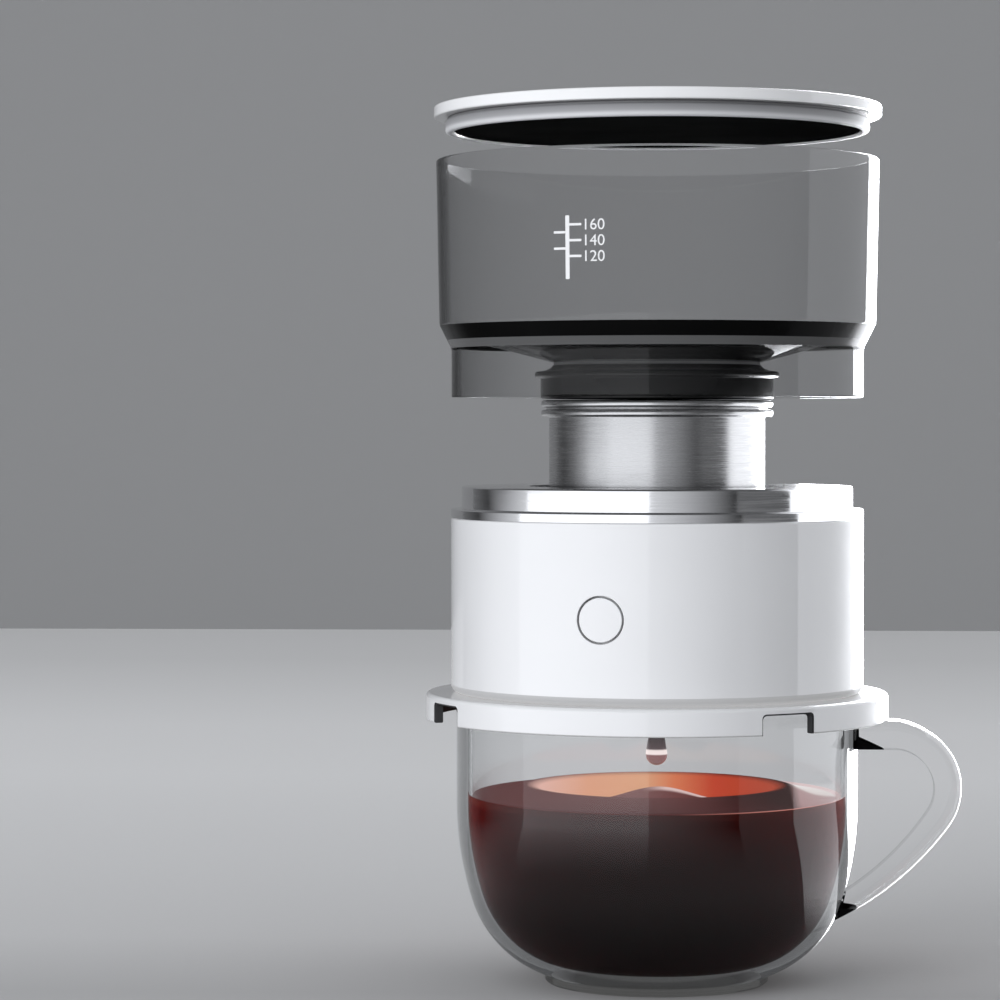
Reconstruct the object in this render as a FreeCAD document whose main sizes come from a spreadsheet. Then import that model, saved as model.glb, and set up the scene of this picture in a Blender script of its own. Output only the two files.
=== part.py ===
import FreeCAD, Part
import Sketcher
import math
import operator
import os

Vector = FreeCAD.Vector
Rotation = FreeCAD.Rotation
Placement = FreeCAD.Placement

doc = FreeCAD.newDocument("drip_coffee_maker")

# Driving dimensions, lengths in millimetres and angles in degrees.
sizes = {
    # clearances
    "seat_gap": 0.1,
    "slide_gap": 0.3,
    "running_gap": 0.1,
    "cell_gap": 0.2,
    # glass mug
    "mug_height": 62.3,
    "mug_radius": 44.5,
    "mug_wall": 3.5,
    "mug_lip_round": 1.4,
    "mug_foot_radius": 24.8,
    "mug_foot_height": 1.8,
    "mug_side_curve": 71.0,
    "mug_side_turn": 18.0,
    "mug_bowl_curve": 25.2,
    "handle_thick": 6.6,
    "handle_width": 10.0,
    "handle_round": 3.0,
    "handle_below_rim": 0.9,
    "handle_run": 8.6,
    "handle_bend": 11.0,
    "handle_bend_turn": 125.0,
    "handle_sweep": 72.0,
    "handle_sweep_turn": 32.0,
    # cup flange
    "flange_thick": 2.0,
    "flange_reach": 5.5,
    "flange_round": 0.8,
    "lip_depth": 5.9,
    "lip_wall": 2.0,
    "lip_gap": 2.0,
    "notch_width": 12.5,
    "notch_height": 4.2,
    "notch_round": 1.0,
    "notch_right_angle": 33.0,
    "notch_left_angle": 64.0,
    # drum housing
    "drum_base": 2.0,
    "drum_base_width": 2.4,
    "drum_wall": 2.2,
    "drum_round": 1.8,
    "drum_gap": 1.1,
    # steel ring and deck
    "step_height": 2.1,
    "step_depth": 2.4,
    "collar_height": 5.0,
    "ring_sheet": 1.2,
    "hole_gap": 0.8,
    "deck_gap": 0.5,
    "deck_thick": 1.6,
    "deck_collar_wall": 1.4,
    # chassis
    "floor_thick": 1.6,
    "well_gap": 0.7,
    "well_wall": 1.25,
    "socket_depth": 8.4,
    "funnel_drop": 4.0,
    "nozzle_radius": 4.4,
    "nozzle_bore": 2.5,
    "nozzle_drop": 9.4,
    "post_circle": 38.0,
    "post_angle": 60.0,
    "post_radius": 2.6,
    "screw_radius": 1.1,
    "screw_head_radius": 2.2,
    "screw_head_height": 1.4,
    "screw_grip": 8.0,
    # filter carrier and its drive
    "sleeve_wall": 1.75,
    "sleeve_depth": 7.6,
    "gear_rim": 2.85,
    "gear_width": 4.6,
    "gear_backlash": 0.2,
    "pinion_inset": 0.3,
    "carrier_neck": 2.0,
    "carrier_seat": 1.5,
    "washer_thick": 0.8,
    "grip_section": 0.7,
    "grip_standoff": 0.15,
    # gear motor
    "motor_angle": 31.0,
    "motor_width": 12.0,
    "motor_depth": 10.0,
    "can_length": 15.0,
    "can_round": 3.3,
    "gearbox_length": 9.0,
    "shaft_gap": 2.2,
    "shaft_radius": 1.5,
    "shaft_tail": 3.0,
    "shaft_running": 0.06,
    "bracket_sheet": 1.2,
    "bracket_width": 5.0,
    "bracket_foot": 6.5,
    # filter
    "filter_radius": 23.9,
    "filter_wall": 0.8,
    "filter_depth": 30.4,
    "filter_float": 1.9,
    "rim_height": 3.6,
    "rim_flare": 1.8,
    "rim_groove": 0.9,
    "rim_groove_depth": 0.9,
    "mesh_ledge": 4.0,
    "mesh_sheet": 0.4,
    "mesh_hole": 0.8,
    "mesh_pitch": 2.7,
    "mesh_margin": 1.2,
    "mesh_ring_width": 1.6,
    "mesh_ring_height": 1.0,
    # layout of the lifted parts
    "raise_height": 24.5,
    "lid_raise": 9.2,
    # water tank
    "tank_height": 52.5,
    "tank_wall": 1.8,
    "tank_draft": 0.7,
    "skirt_wall": 2.0,
    "skirt_height": 10.8,
    "shoulder_height": 5.4,
    "shoulder_reach": 2.7,
    "floor_rise": 13.2,
    "floor_drop": 5.5,
    "tank_floor": 1.8,
    "neck_inset": 2.9,
    # drip plug
    "plug_wall": 2.4,
    "plug_reach": 0.1,
    "plug_lip_reach": 1.4,
    "plug_lip_top": 2.0,
    "plug_lip_height": 1.3,
    "plug_waist_wall": 1.9,
    "plug_flare_reach": 3.2,
    "plug_flare_height": 0.9,
    "disc_thick": 1.8,
    "disc_inset": 0.9,
    "disc_hole": 0.6,
    "disc_hole_circle": 12.0,
    # lid
    "lid_thick": 2.5,
    "lid_overhang": 0.5,
    "lid_round": 1.1,
    "lid_plug_height": 3.4,
    "lid_plug_wall": 2.0,
    "liner_recess": 0.4,
    # button and control board
    "button_angle": 15.1,
    "button_height": 18.2,
    "button_radius": 4.65,
    "button_line": 0.5,
    "button_recess": 0.1,
    "button_travel": 0.8,
    "catch_radius": 6.0,
    "catch_thick": 1.0,
    "stem_length": 0.6,
    "plunger_radius": 1.7,
    "plunger_tail": 1.0,
    "switch_width": 6.0,
    "switch_height": 3.5,
    "board_width": 24.0,
    "board_height": 20.0,
    "board_thick": 1.2,
    "board_slot": 1.5,
    "board_rib": 3.0,
    "board_rib_height": 12.0,
    "chip_width": 5.0,
    "chip_height": 1.5,
    "capacitor_radius": 2.0,
    "capacitor_length": 5.0,
    # cells and their door
    "cell_radius": 5.25,
    "cell_length": 44.5,
    "cell_nub_radius": 1.9,
    "cell_nub_length": 1.0,
    "tray_sheet": 1.2,
    "tray_end_depth": 7.0,
    "contact_width": 5.6,
    "contact_sheet": 0.4,
    "contact_bump": 0.8,
    "contact_spring": 2.4,
    "contact_bump_radius": 2.2,
    "door_ledge": 0.75,
    "door_margin": 2.2,
    "door_lap": 1.2,
    "door_pad_width": 14.0,
    "door_pad_height": 3.0,
    "door_pad_root": 0.7,
    # leads
    "lead_radius": 0.55,
    "lead_standoff": 4.5,
    "lead_exit": 3.4,
    "lead_inset": 4.0,
    "lead_spacing": 3.0,
}

# counts
gear_teeth = 72
pinion_teeth = 16
mesh_rings = 6
disc_holes = 9
pressure_angle = 20.0
dedendum = 1.25
bend_share = 0.45

# directions from the back, in degrees, where the battery leads bend on their way round the well
lead_angles = (58, 82, 106, 130)

sheet = doc.addObject("Spreadsheet::Sheet", "dims")
for row, (alias, number) in enumerate(sizes.items(), 1):
    sheet.set(f"A{row}", alias)
    sheet.set(f"B{row}", str(number))
    sheet.setAlias(f"B{row}", alias)
doc.recompute()


class Size:
    """A length or angle that follows from the sheet: its number now and the formula that binds it."""

    signs = {"+": operator.add, "-": operator.sub, "*": operator.mul, "/": operator.truediv}

    def __init__(self, number, formula):
        self.number = number
        self.formula = formula

    @staticmethod
    def of(item):
        return item if isinstance(item, Size) else Size(float(item), repr(float(item)))

    @staticmethod
    def joined(left, sign, right):
        left = Size.of(left)
        right = Size.of(right)
        number = Size.signs[sign](left.number, right.number)
        return Size(number, f"({left.formula} {sign} {right.formula})")

    def __add__(self, other):
        return Size.joined(self, "+", other)

    def __radd__(self, other):
        return Size.joined(other, "+", self)

    def __sub__(self, other):
        return Size.joined(self, "-", other)

    def __rsub__(self, other):
        return Size.joined(other, "-", self)

    def __mul__(self, other):
        return Size.joined(self, "*", other)

    def __rmul__(self, other):
        return Size.joined(other, "*", self)

    def __truediv__(self, other):
        return Size.joined(self, "/", other)

    def __neg__(self):
        return Size.joined(0, "-", self)


class Sheet:
    """Gives each cell of the sheet as a Size under its alias."""

    def __getattr__(self, alias):
        return Size(sizes[alias], f"dims.{alias}")


def root(size):
    return Size(math.sqrt(size.number), f"sqrt({size.formula})")


def sine(size):
    return Size(math.sin(math.radians(size.number)), f"sin({size.formula})")


def cosine(size):
    return Size(math.cos(math.radians(size.number)), f"cos({size.formula})")


def larger(first, second):
    return Size(max(first.number, second.number), f"max({first.formula}; {second.formula})")


def bind(item, path, size):
    item.setExpression(path, Size.of(size).formula)


def attached_sketch(body, name, role, offset=0):
    sketch = body.newObject("Sketcher::SketchObject", name)
    plane = next(item for item in body.Origin.OriginFeatures if item.Role == role)
    sketch.AttachmentSupport = [(plane, "")]
    sketch.MapMode = "FlatFace"
    bind(sketch, "AttachmentOffset.Base.z", offset)
    return sketch


def pin_point(sketch, edge, end, x, y):
    """Holds the end of a sketch edge at a place measured from the sketch's origin."""
    for kind, axis, size in (("DistanceX", -2, Size.of(x)), ("DistanceY", -1, Size.of(y))):
        if size.formula == "0.0":
            sketch.addConstraint(Sketcher.Constraint("PointOnObject", edge, end, axis))
            continue
        index = sketch.addConstraint(Sketcher.Constraint(kind, -1, 1, edge, end, size.number))
        bind(sketch, f"Constraints[{index}]", size)


def add_edges(sketch, points, closed=True):
    """Draws lines and arcs through points (x, y) or (x, y, radius, side of the arc's centre)."""
    spots = [Vector(Size.of(point[0]).number, Size.of(point[1]).number, 0) for point in points]
    count = len(points) if closed else len(points) - 1
    ends = []
    for place in range(count):
        start = spots[place]
        stop = spots[(place + 1) % len(spots)]
        if len(points[place]) == 2:
            edge = sketch.addGeometry(Part.LineSegment(start, stop), False)
            ends.append((edge, 1, 2))
            continue
        radius, side = points[place][2:]
        chord = stop - start
        rise = math.sqrt(radius.number ** 2 - chord.Length ** 2 / 4)
        normal = Vector(-chord.y, chord.x, 0).normalize() * (rise if side == "left" else -rise)
        centre = (start + stop) * 0.5 + normal
        first, last = (start, stop) if side == "left" else (stop, start)
        angles = [math.atan2(spot.y - centre.y, spot.x - centre.x) for spot in (first, last)]
        circle = Part.Circle(centre, Vector(0, 0, 1), radius.number)
        edge = sketch.addGeometry(Part.ArcOfCircle(circle, *angles), False)
        ends.append((edge, 1, 2) if side == "left" else (edge, 2, 1))
        index = sketch.addConstraint(Sketcher.Constraint("Radius", edge, radius.number))
        bind(sketch, f"Constraints[{index}]", radius)
    for index, (edge, start, stop) in enumerate(ends):
        if closed or index + 1 < count:
            next_edge, next_start, _ = ends[(index + 1) % count]
            sketch.addConstraint(Sketcher.Constraint("Coincident", edge, stop, next_edge, next_start))
        pin_point(sketch, edge, start, *points[index][:2])
    if not closed:
        pin_point(sketch, ends[-1][0], ends[-1][2], *points[-1][:2])


def add_circle(sketch, x, y, radius):
    centre = Vector(Size.of(x).number, Size.of(y).number, 0)
    edge = sketch.addGeometry(Part.Circle(centre, Vector(0, 0, 1), radius.number), False)
    index = sketch.addConstraint(Sketcher.Constraint("Radius", edge, radius.number))
    bind(sketch, f"Constraints[{index}]", radius)
    pin_point(sketch, edge, 3, x, y)


def rectangle(left, bottom, right, top):
    return [(left, bottom), (right, bottom), (right, top), (left, top)]


def rounded_rectangle(left, bottom, right, top, radius):
    return [
        (left + radius, bottom), (right - radius, bottom, radius, "left"),
        (right, bottom + radius), (right, top - radius, radius, "left"),
        (right - radius, top), (left + radius, top, radius, "left"),
        (left, top - radius), (left, bottom + radius, radius, "left"),
    ]


def revolved(name, points):
    """A body turned about the vertical axis from an outline of (radius, height) points."""
    body = doc.addObject("PartDesign::Body", name)
    sketch = attached_sketch(body, f"{name}_outline", "XZ_Plane")
    add_edges(sketch, points)
    turning = body.newObject("PartDesign::Revolution", f"{name}_turned")
    turning.Profile = sketch
    turning.ReferenceAxis = (sketch, ["V_Axis"])
    turning.Angle = 360
    return body


def add_pad(body, name, role, outline, start, length):
    """Pads an outline, or a circle given as (x, y, radius), from a plane of the body."""
    sketch = attached_sketch(body, f"{name}_outline", role, start)
    if isinstance(outline, tuple):
        add_circle(sketch, *outline)
    else:
        add_edges(sketch, outline)
    pad = body.newObject("PartDesign::Pad", f"{name}_pad")
    pad.Profile = sketch
    bind(pad, "Length", length)
    return body


def padded(name, role, outline, start, length):
    return add_pad(doc.addObject("PartDesign::Body", name), name, role, outline, start, length)


def turned(item, angle, clockwise=False):
    """Turns a piece that was drawn facing the front about the vertical axis."""
    axis = Vector(0, 0, -1 if clockwise else 1)
    item.Placement = Placement(Vector(), Rotation(axis, angle.number))
    bind(item, "Placement.Rotation.Angle", angle)
    return item


def cylinder(name, x, y, z, radius, height):
    item = doc.addObject("Part::Cylinder", name)
    bind(item, "Radius", radius)
    bind(item, "Height", height)
    for axis, place in zip("xyz", (x, y, z)):
        bind(item, f"Placement.Base.{axis}", place)
    return item


def box(name, low, high):
    """A block between two corners."""
    item = doc.addObject("Part::Box", name)
    for axis, side, start, stop in zip("xyz", ("Length", "Width", "Height"), low, high):
        bind(item, f"Placement.Base.{axis}", start)
        bind(item, side, Size.of(stop) - start)
    return item


cuts = []


def cut(name, base, *tools):
    for index, tool in enumerate(tools, 1):
        item = doc.addObject("Part::Cut", name if index == len(tools) else f"{name}_cut{index}")
        item.Base = base
        item.Tool = tool
        cuts.append(item)
        base = item
    return base


def fused(name, *items):
    item = doc.addObject("Part::MultiFuse", name)
    item.Shapes = list(items)
    return item


def common(name, base, tool):
    item = doc.addObject("Part::Common", name)
    item.Base = base
    item.Tool = tool
    return item


def grouped(name, items):
    item = doc.addObject("Part::Compound", name)
    item.Links = list(items)
    return item


def shaped(name, shape):
    item = doc.addObject("Part::Feature", name)
    item.Shape = shape
    item.Placement = Placement()
    return item


def filleted(body, radius, rings):
    """Rounds the round edges of a body that lie at (radius, height)."""
    doc.recompute()
    names = []
    for index, edge in enumerate(body.Shape.Edges, 1):
        if not isinstance(edge.Curve, Part.Circle):
            continue
        spot = (edge.Curve.Radius, edge.Curve.Center.z)
        if any(math.dist(spot, (ring[0].number, ring[1].number)) < 0.001 for ring in rings):
            names.append(f"Edge{index}")
    base = body.Tip
    fillet = body.newObject("PartDesign::Fillet", f"{body.Name}_round")
    fillet.Base = (base, names)
    bind(fillet, "Radius", radius)
    return body


d = Sheet()

# Heights, from the mug's foot upwards.
flange_bottom = d.mug_height + d.seat_gap
flange_top = flange_bottom + d.flange_thick
lip_bottom = flange_top - d.lip_depth
floor_bottom = flange_top + d.drum_base
floor_top = floor_bottom + d.floor_thick
gearbox_top = floor_top + d.can_length + d.gearbox_length
gear_stack = gearbox_top + d.shaft_gap + d.gear_width + d.carrier_neck
funnel_stack = floor_top + d.funnel_drop + d.filter_float
seat_height = larger(gear_stack, funnel_stack + d.filter_depth - d.rim_height - d.seat_gap)
gear_top = seat_height - d.carrier_neck
gear_bottom = gear_top - d.gear_width
socket_top = gear_bottom - d.washer_thick
deck_bottom = seat_height + d.deck_gap
drum_top = deck_bottom + d.deck_thick
step_top = drum_top + d.step_height
ring_top = step_top + d.collar_height
rim_bottom = seat_height + d.seat_gap + d.raise_height
filter_top = rim_bottom + d.rim_height
filter_bottom = filter_top - d.filter_depth
funnel_top = filter_bottom - d.raise_height - d.filter_float
skirt_bottom = step_top + d.seat_gap + d.raise_height
tank_top = skirt_bottom + d.tank_height
lid_bottom = tank_top + d.seat_gap + d.lid_raise
button_centre = flange_top + d.button_height

# Radii, from the filter outwards.
rim_radius = d.filter_radius + d.rim_flare
sleeve_inner = d.filter_radius + d.slide_gap
sleeve_outer = sleeve_inner + d.sleeve_wall
socket_inner = sleeve_outer + d.running_gap
socket_outer = socket_inner + d.well_wall
well_inner = d.filter_radius + d.well_gap
well_outer = well_inner + d.well_wall
gear_pitch = sleeve_outer + d.gear_rim
gear_module = 2 * gear_pitch / gear_teeth
pinion_pitch = gear_module * pinion_teeth / 2
motor_circle = gear_pitch + pinion_pitch
pinion_reach = motor_circle + pinion_pitch + gear_module
cell_line = socket_outer + d.cell_gap + d.cell_radius
cell_front = cell_line + d.cell_radius
cell_corner = root(cell_front * cell_front + d.cell_length * d.cell_length / 4)
drum_inner = larger(pinion_reach + d.drum_gap, cell_corner + d.cell_gap - d.door_ledge)
drum_radius = drum_inner + d.drum_wall
flange_radius = larger(drum_radius + d.flange_reach, d.mug_radius + d.lip_gap + d.lip_wall)
lip_inner = flange_radius - d.lip_wall
collar_radius = drum_radius - d.step_depth
plug_radius = rim_radius + d.plug_reach
plug_lip_radius = rim_radius + d.plug_lip_reach
ring_hole = plug_lip_radius + d.hole_gap
deck_hole = ring_hole + d.slide_gap
skirt_inner = collar_radius + d.slide_gap
skirt_outer = skirt_inner + d.skirt_wall
shoulder_radius = skirt_outer + d.shoulder_reach
tank_radius = shoulder_radius + d.tank_draft
tank_mouth = tank_radius - d.tank_wall
tank_hole = rim_radius - d.neck_inset
lid_radius = tank_radius + d.lid_overhang
lid_plug_radius = tank_mouth - d.slide_gap


def make_mug():
    """Glass mug: foot, bowl of two arcs, straight wall and a strap handle towards +X."""
    curve_gap = d.mug_side_curve - d.mug_bowl_curve
    bowl_x = d.mug_radius - d.mug_side_curve + curve_gap * cosine(d.mug_side_turn)
    foot_x = d.mug_foot_radius - bowl_x
    bowl_z = d.mug_foot_height + root(d.mug_bowl_curve * d.mug_bowl_curve - foot_x * foot_x)
    side_z = bowl_z + curve_gap * sine(d.mug_side_turn)
    inner_curve = d.mug_bowl_curve - d.mug_wall
    inner_radius = d.mug_radius - d.mug_wall
    joint_x = bowl_x + d.mug_bowl_curve * cosine(d.mug_side_turn)
    joint_z = bowl_z - d.mug_bowl_curve * sine(d.mug_side_turn)
    inner_joint_x = bowl_x + inner_curve * cosine(d.mug_side_turn)
    inner_joint_z = bowl_z - inner_curve * sine(d.mug_side_turn)
    mug = revolved("glass_mug", [
        (0, 0),
        (d.mug_foot_radius, 0),
        (d.mug_foot_radius, d.mug_foot_height, d.mug_bowl_curve, "left"),
        (joint_x, joint_z, d.mug_side_curve, "left"),
        (d.mug_radius, side_z),
        (d.mug_radius, d.mug_height - d.mug_lip_round, d.mug_lip_round, "left"),
        (d.mug_radius - d.mug_lip_round, d.mug_height),
        (0, d.mug_height),
    ])
    add_handle(mug)
    hollow = attached_sketch(mug, "mug_hollow_outline", "XZ_Plane")
    add_edges(hollow, [
        (0, bowl_z - inner_curve),
        (bowl_x, bowl_z - inner_curve, inner_curve, "left"),
        (inner_joint_x, inner_joint_z, d.mug_side_curve - d.mug_wall, "left"),
        (inner_radius, side_z),
        (inner_radius, d.mug_height - d.mug_lip_round, d.mug_lip_round, "right"),
        (inner_radius + d.mug_lip_round, d.mug_height),
        (inner_radius + d.mug_lip_round, d.mug_height + d.mug_wall),
        (0, d.mug_height + d.mug_wall),
    ])
    doc.recompute()
    groove = mug.newObject("PartDesign::Groove", "mug_hollow")
    groove.Profile = hollow
    groove.ReferenceAxis = (hollow, ["V_Axis"])
    groove.Angle = 360
    return mug


def add_handle(mug):
    """Strap handle: a straight root under the rim, a tight bend, and a long sweep into the bowl."""
    root_x = d.mug_radius - d.mug_wall / 2
    handle_z = lip_bottom - d.handle_below_rim - d.handle_thick / 2
    bend_x = d.mug_radius + d.handle_run
    bend_z = handle_z - d.handle_bend
    bend_end_x = bend_x + d.handle_bend * sine(d.handle_bend_turn)
    bend_end_z = bend_z + d.handle_bend * cosine(d.handle_bend_turn)
    turn = d.handle_bend_turn + d.handle_sweep_turn
    sweep_x = bend_end_x - d.handle_sweep * sine(d.handle_bend_turn)
    sweep_z = bend_end_z - d.handle_sweep * cosine(d.handle_bend_turn)
    path = attached_sketch(mug, "handle_path", "XZ_Plane")
    add_edges(path, [
        (root_x, handle_z),
        (bend_x, handle_z, d.handle_bend, "right"),
        (bend_end_x, bend_end_z, d.handle_sweep, "right"),
        (sweep_x + d.handle_sweep * sine(turn), sweep_z + d.handle_sweep * cosine(turn)),
    ], closed=False)
    section = attached_sketch(mug, "handle_section", "YZ_Plane", root_x)
    half_width = d.handle_width / 2
    half_thick = d.handle_thick / 2
    add_edges(section, rounded_rectangle(
        -half_width, handle_z - half_thick, half_width, handle_z + half_thick, d.handle_round))
    doc.recompute()
    handle = mug.newObject("PartDesign::AdditivePipe", "handle_sweep")
    handle.Profile = section
    handle.Spine = (path, ["Edge1", "Edge2", "Edge3"])


def make_flange():
    """Cup flange: plate, turned-down lip with four notches, nozzle hole and sunk screw holes."""
    blank = revolved("cup_flange_blank", [
        (d.nozzle_radius + d.slide_gap, flange_bottom),
        (lip_inner, flange_bottom),
        (lip_inner, lip_bottom),
        (flange_radius, lip_bottom),
        (flange_radius, flange_top - d.flange_round, d.flange_round, "left"),
        (flange_radius - d.flange_round, flange_top),
        (d.nozzle_radius + d.slide_gap, flange_top),
    ])
    turns = {
        "right": (d.notch_right_angle, False),
        "left": (d.notch_left_angle, True),
        "right_back": (180 - d.notch_left_angle, False),
        "left_back": (180 - d.notch_right_angle, True),
    }
    tools = []
    for side, (angle, clockwise) in turns.items():
        outline = rounded_rectangle(
            -d.notch_width / 2, lip_bottom - d.notch_height,
            d.notch_width / 2, lip_bottom + d.notch_height, d.notch_round)
        start = lip_inner * cosine(d.notch_right_angle)
        tool = padded(f"notch_{side}", "XZ_Plane", outline, start, flange_radius - start + d.lip_wall)
        tools.append(turned(tool, angle, clockwise))
    for name, x, y in post_places():
        tools.append(cylinder(
            f"flange_hole_{name}", x, y, flange_bottom, d.screw_radius + d.slide_gap, d.flange_thick))
        sink = d.screw_head_radius + d.slide_gap
        tools.append(cylinder(f"flange_sink_{name}", x, y, flange_bottom, sink, d.screw_head_height))
    return cut("cup_flange", blank, *tools)


def post_places():
    """Places of the four chassis posts and of the screws that hold them."""
    x = d.post_circle * sine(d.post_angle)
    y = d.post_circle * cosine(d.post_angle)
    return [("front_right", x, -y), ("front_left", -x, -y), ("back_right", x, y), ("back_left", -x, y)]


def door_frame():
    """Half width, bottom and top of the cell door's recess in the drum."""
    half = d.cell_length / 2 + d.door_margin
    bottom = floor_top + d.tray_sheet - d.door_lap / 2
    top = floor_top + d.tray_sheet + 4 * d.cell_radius + 3 * d.cell_gap + d.door_lap
    return half, bottom, top


def make_housing():
    """Drum: rounded bottom edge, inner foot ring, button hole, and a recessed opening for the cells."""
    blank = revolved("housing_blank", [
        (drum_inner - d.drum_base_width, flange_top),
        (drum_radius - d.drum_round, flange_top, d.drum_round, "left"),
        (drum_radius, flange_top + d.drum_round),
        (drum_radius, drum_top),
        (drum_inner, drum_top),
        (drum_inner, floor_bottom),
        (drum_inner - d.drum_base_width, floor_bottom),
    ])
    hole = padded("button_hole", "XZ_Plane", (0, button_centre, d.button_radius + d.button_line),
                  drum_inner / 2, drum_radius)
    half, bottom, top = door_frame()
    depth = cell_line
    reach = drum_radius + d.drum_wall
    opening = box("door_opening", (d.door_lap - half, depth, bottom + d.door_lap),
                  (half - d.door_lap, reach, top - d.door_lap))
    recess_block = box("door_recess_block", (-half, depth, bottom), (half, reach, top))
    recess_core = cylinder(
        "door_recess_core", 0, 0, flange_top, drum_inner + d.door_ledge, drum_top - flange_top)
    recess = cut("door_recess", recess_block, recess_core)
    return cut("housing_shell", blank, turned(hole, d.button_angle, True), opening, recess)


def make_door():
    """Curved door over the cells, with a pad that keeps each cell in place."""
    half, bottom, top = door_frame()
    gap = d.slide_gap
    block = box("door_block", (gap - half, cell_line, bottom + gap), (half - gap, drum_radius, top - gap))
    outer = cylinder("door_outer", 0, 0, bottom, drum_radius - d.button_recess, top - bottom)
    inner = cylinder("door_inner", 0, 0, bottom, drum_inner + d.door_ledge + d.seat_gap, top - bottom)
    panel = cut("door_panel", common("door_face", block, outer), inner)
    pads = []
    for index, height in enumerate(cell_heights(), 1):
        pads.append(box(f"door_pad{index}",
                        (-d.door_pad_width / 2, cell_front + d.cell_gap, height - d.door_pad_height / 2),
                        (d.door_pad_width / 2, drum_inner + d.door_ledge + d.door_pad_root,
                         height + d.door_pad_height / 2)))
    return fused("battery_door", panel, *pads)


def make_ring():
    """Steel ring: a stepped sheet that tops the drum and leaves a hole for the filter."""
    sheet_top = ring_top - d.ring_sheet
    return revolved("top_ring", [
        (drum_radius - d.ring_sheet, drum_top),
        (drum_radius, drum_top),
        (drum_radius, step_top),
        (collar_radius, step_top),
        (collar_radius, ring_top),
        (ring_hole, ring_top),
        (ring_hole, sheet_top),
        (collar_radius - d.ring_sheet, sheet_top),
        (collar_radius - d.ring_sheet, step_top - d.ring_sheet),
        (drum_radius - d.ring_sheet, step_top - d.ring_sheet),
    ])


def make_deck():
    """Splash deck over the gears with a collar that carries the steel ring."""
    collar_outer = deck_hole + d.deck_collar_wall
    blank = revolved("deck_blank", [
        (deck_hole, deck_bottom),
        (drum_inner - d.cell_gap, deck_bottom),
        (drum_inner - d.cell_gap, drum_top),
        (collar_outer, drum_top),
        (collar_outer, ring_top - d.ring_sheet),
        (deck_hole, ring_top - d.ring_sheet),
    ])
    tools = []
    for name, x, y in post_places():
        tools.append(cylinder(
            f"deck_hole_{name}", x, y, deck_bottom, d.screw_radius + d.slide_gap, d.deck_thick))
    return cut("deck_plate", blank, *tools)


def board_stack():
    """Distances from the axis, towards the button, of the faces in the button's stack."""
    catch_front = root(drum_inner * drum_inner - d.catch_radius * d.catch_radius) - d.slide_gap
    catch_back = catch_front - d.catch_thick
    stem_end = catch_back - d.stem_length
    switch_front = stem_end - d.button_travel - d.slide_gap
    board_front = switch_front - d.switch_height
    return catch_front, catch_back, stem_end, switch_front, board_front, board_front - d.board_thick


def make_chassis():
    """Chassis: floor, filter well with a socket for the carrier, funnel, nozzle, posts, board ribs."""
    socket_bottom = socket_top - d.socket_depth
    frame = revolved("chassis_frame", [
        (d.nozzle_bore, flange_top - d.nozzle_drop),
        (d.nozzle_radius, flange_top - d.nozzle_drop),
        (d.nozzle_radius, floor_bottom),
        (drum_inner - d.cell_gap, floor_bottom),
        (drum_inner - d.cell_gap, floor_top),
        (well_outer, floor_top),
        (well_outer, socket_bottom - d.well_wall),
        (socket_outer, socket_bottom),
        (socket_outer, socket_top),
        (socket_inner, socket_top),
        (socket_inner, socket_bottom),
        (well_inner, socket_bottom),
        (well_inner, funnel_top),
        (d.nozzle_bore, funnel_top - d.funnel_drop),
    ])
    posts = []
    holes = []
    for name, x, y in post_places():
        posts.append(cylinder(f"post_{name}", x, y, flange_top, d.post_radius, deck_bottom - flange_top))
        holes.append(cylinder(f"post_low_{name}", x, y, flange_top, d.screw_radius, d.screw_grip))
        holes.append(cylinder(
            f"post_high_{name}", x, y, deck_bottom - d.screw_grip, d.screw_radius, d.screw_grip))
    board_front, board_back = board_stack()[4:]
    ribs = []
    for side, sign in (("left", -1), ("right", 1)):
        edge = sign * d.board_width / 2
        out = edge + sign * d.board_rib / 2
        inside = edge - sign * d.board_rib / 2
        outline = rectangle(*sorted_pair(
            inside, out, -board_front - d.board_slot, d.board_slot - board_back))
        rib = padded(f"board_rib_{side}", "XY_Plane", outline, floor_top, d.board_rib_height)
        ribs.append(turned(rib, d.button_angle, True))
    slot = padded("board_slot", "XY_Plane", rectangle(
        -d.board_width / 2 - d.running_gap, -board_front - d.running_gap,
        d.board_width / 2 + d.running_gap, d.running_gap - board_back),
        button_centre - d.board_height / 2, d.board_height)
    holes.append(turned(slot, d.button_angle, True))
    for side, x in motor_screw_places():
        hole = padded(f"foot_hole_{side}", "XY_Plane", (x, -motor_circle, d.screw_radius),
                      floor_bottom, d.floor_thick)
        holes.append(turned(hole, d.motor_angle))
    return cut("chassis", fused("chassis_blank", frame, *posts, *ribs), *holes)


def sorted_pair(first, second, bottom, top):
    """Corners of a rectangle whose two sides may come in either order."""
    left, right = (first, second) if first.number < second.number else (second, first)
    return left, bottom, right, top


def make_screws(kind):
    """Four screws with round heads: sunk in the flange and going up, or down through the deck."""
    screws = []
    for name, x, y in post_places():
        if kind == "base":
            head_z = flange_bottom
            shank_z = flange_bottom + d.screw_head_height
            shank = flange_top + d.screw_grip - shank_z
        else:
            head_z = drum_top
            shank_z = deck_bottom - d.screw_grip
            shank = drum_top - shank_z
        head = cylinder(f"{kind}_head_{name}", x, y, head_z, d.screw_head_radius, d.screw_head_height)
        body = cylinder(f"{kind}_shank_{name}", x, y, shank_z, d.screw_radius, shank)
        screws.append(fused(f"{kind}_screw_{name}", head, body))
    return grouped(f"{kind}_screws", screws)


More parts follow.
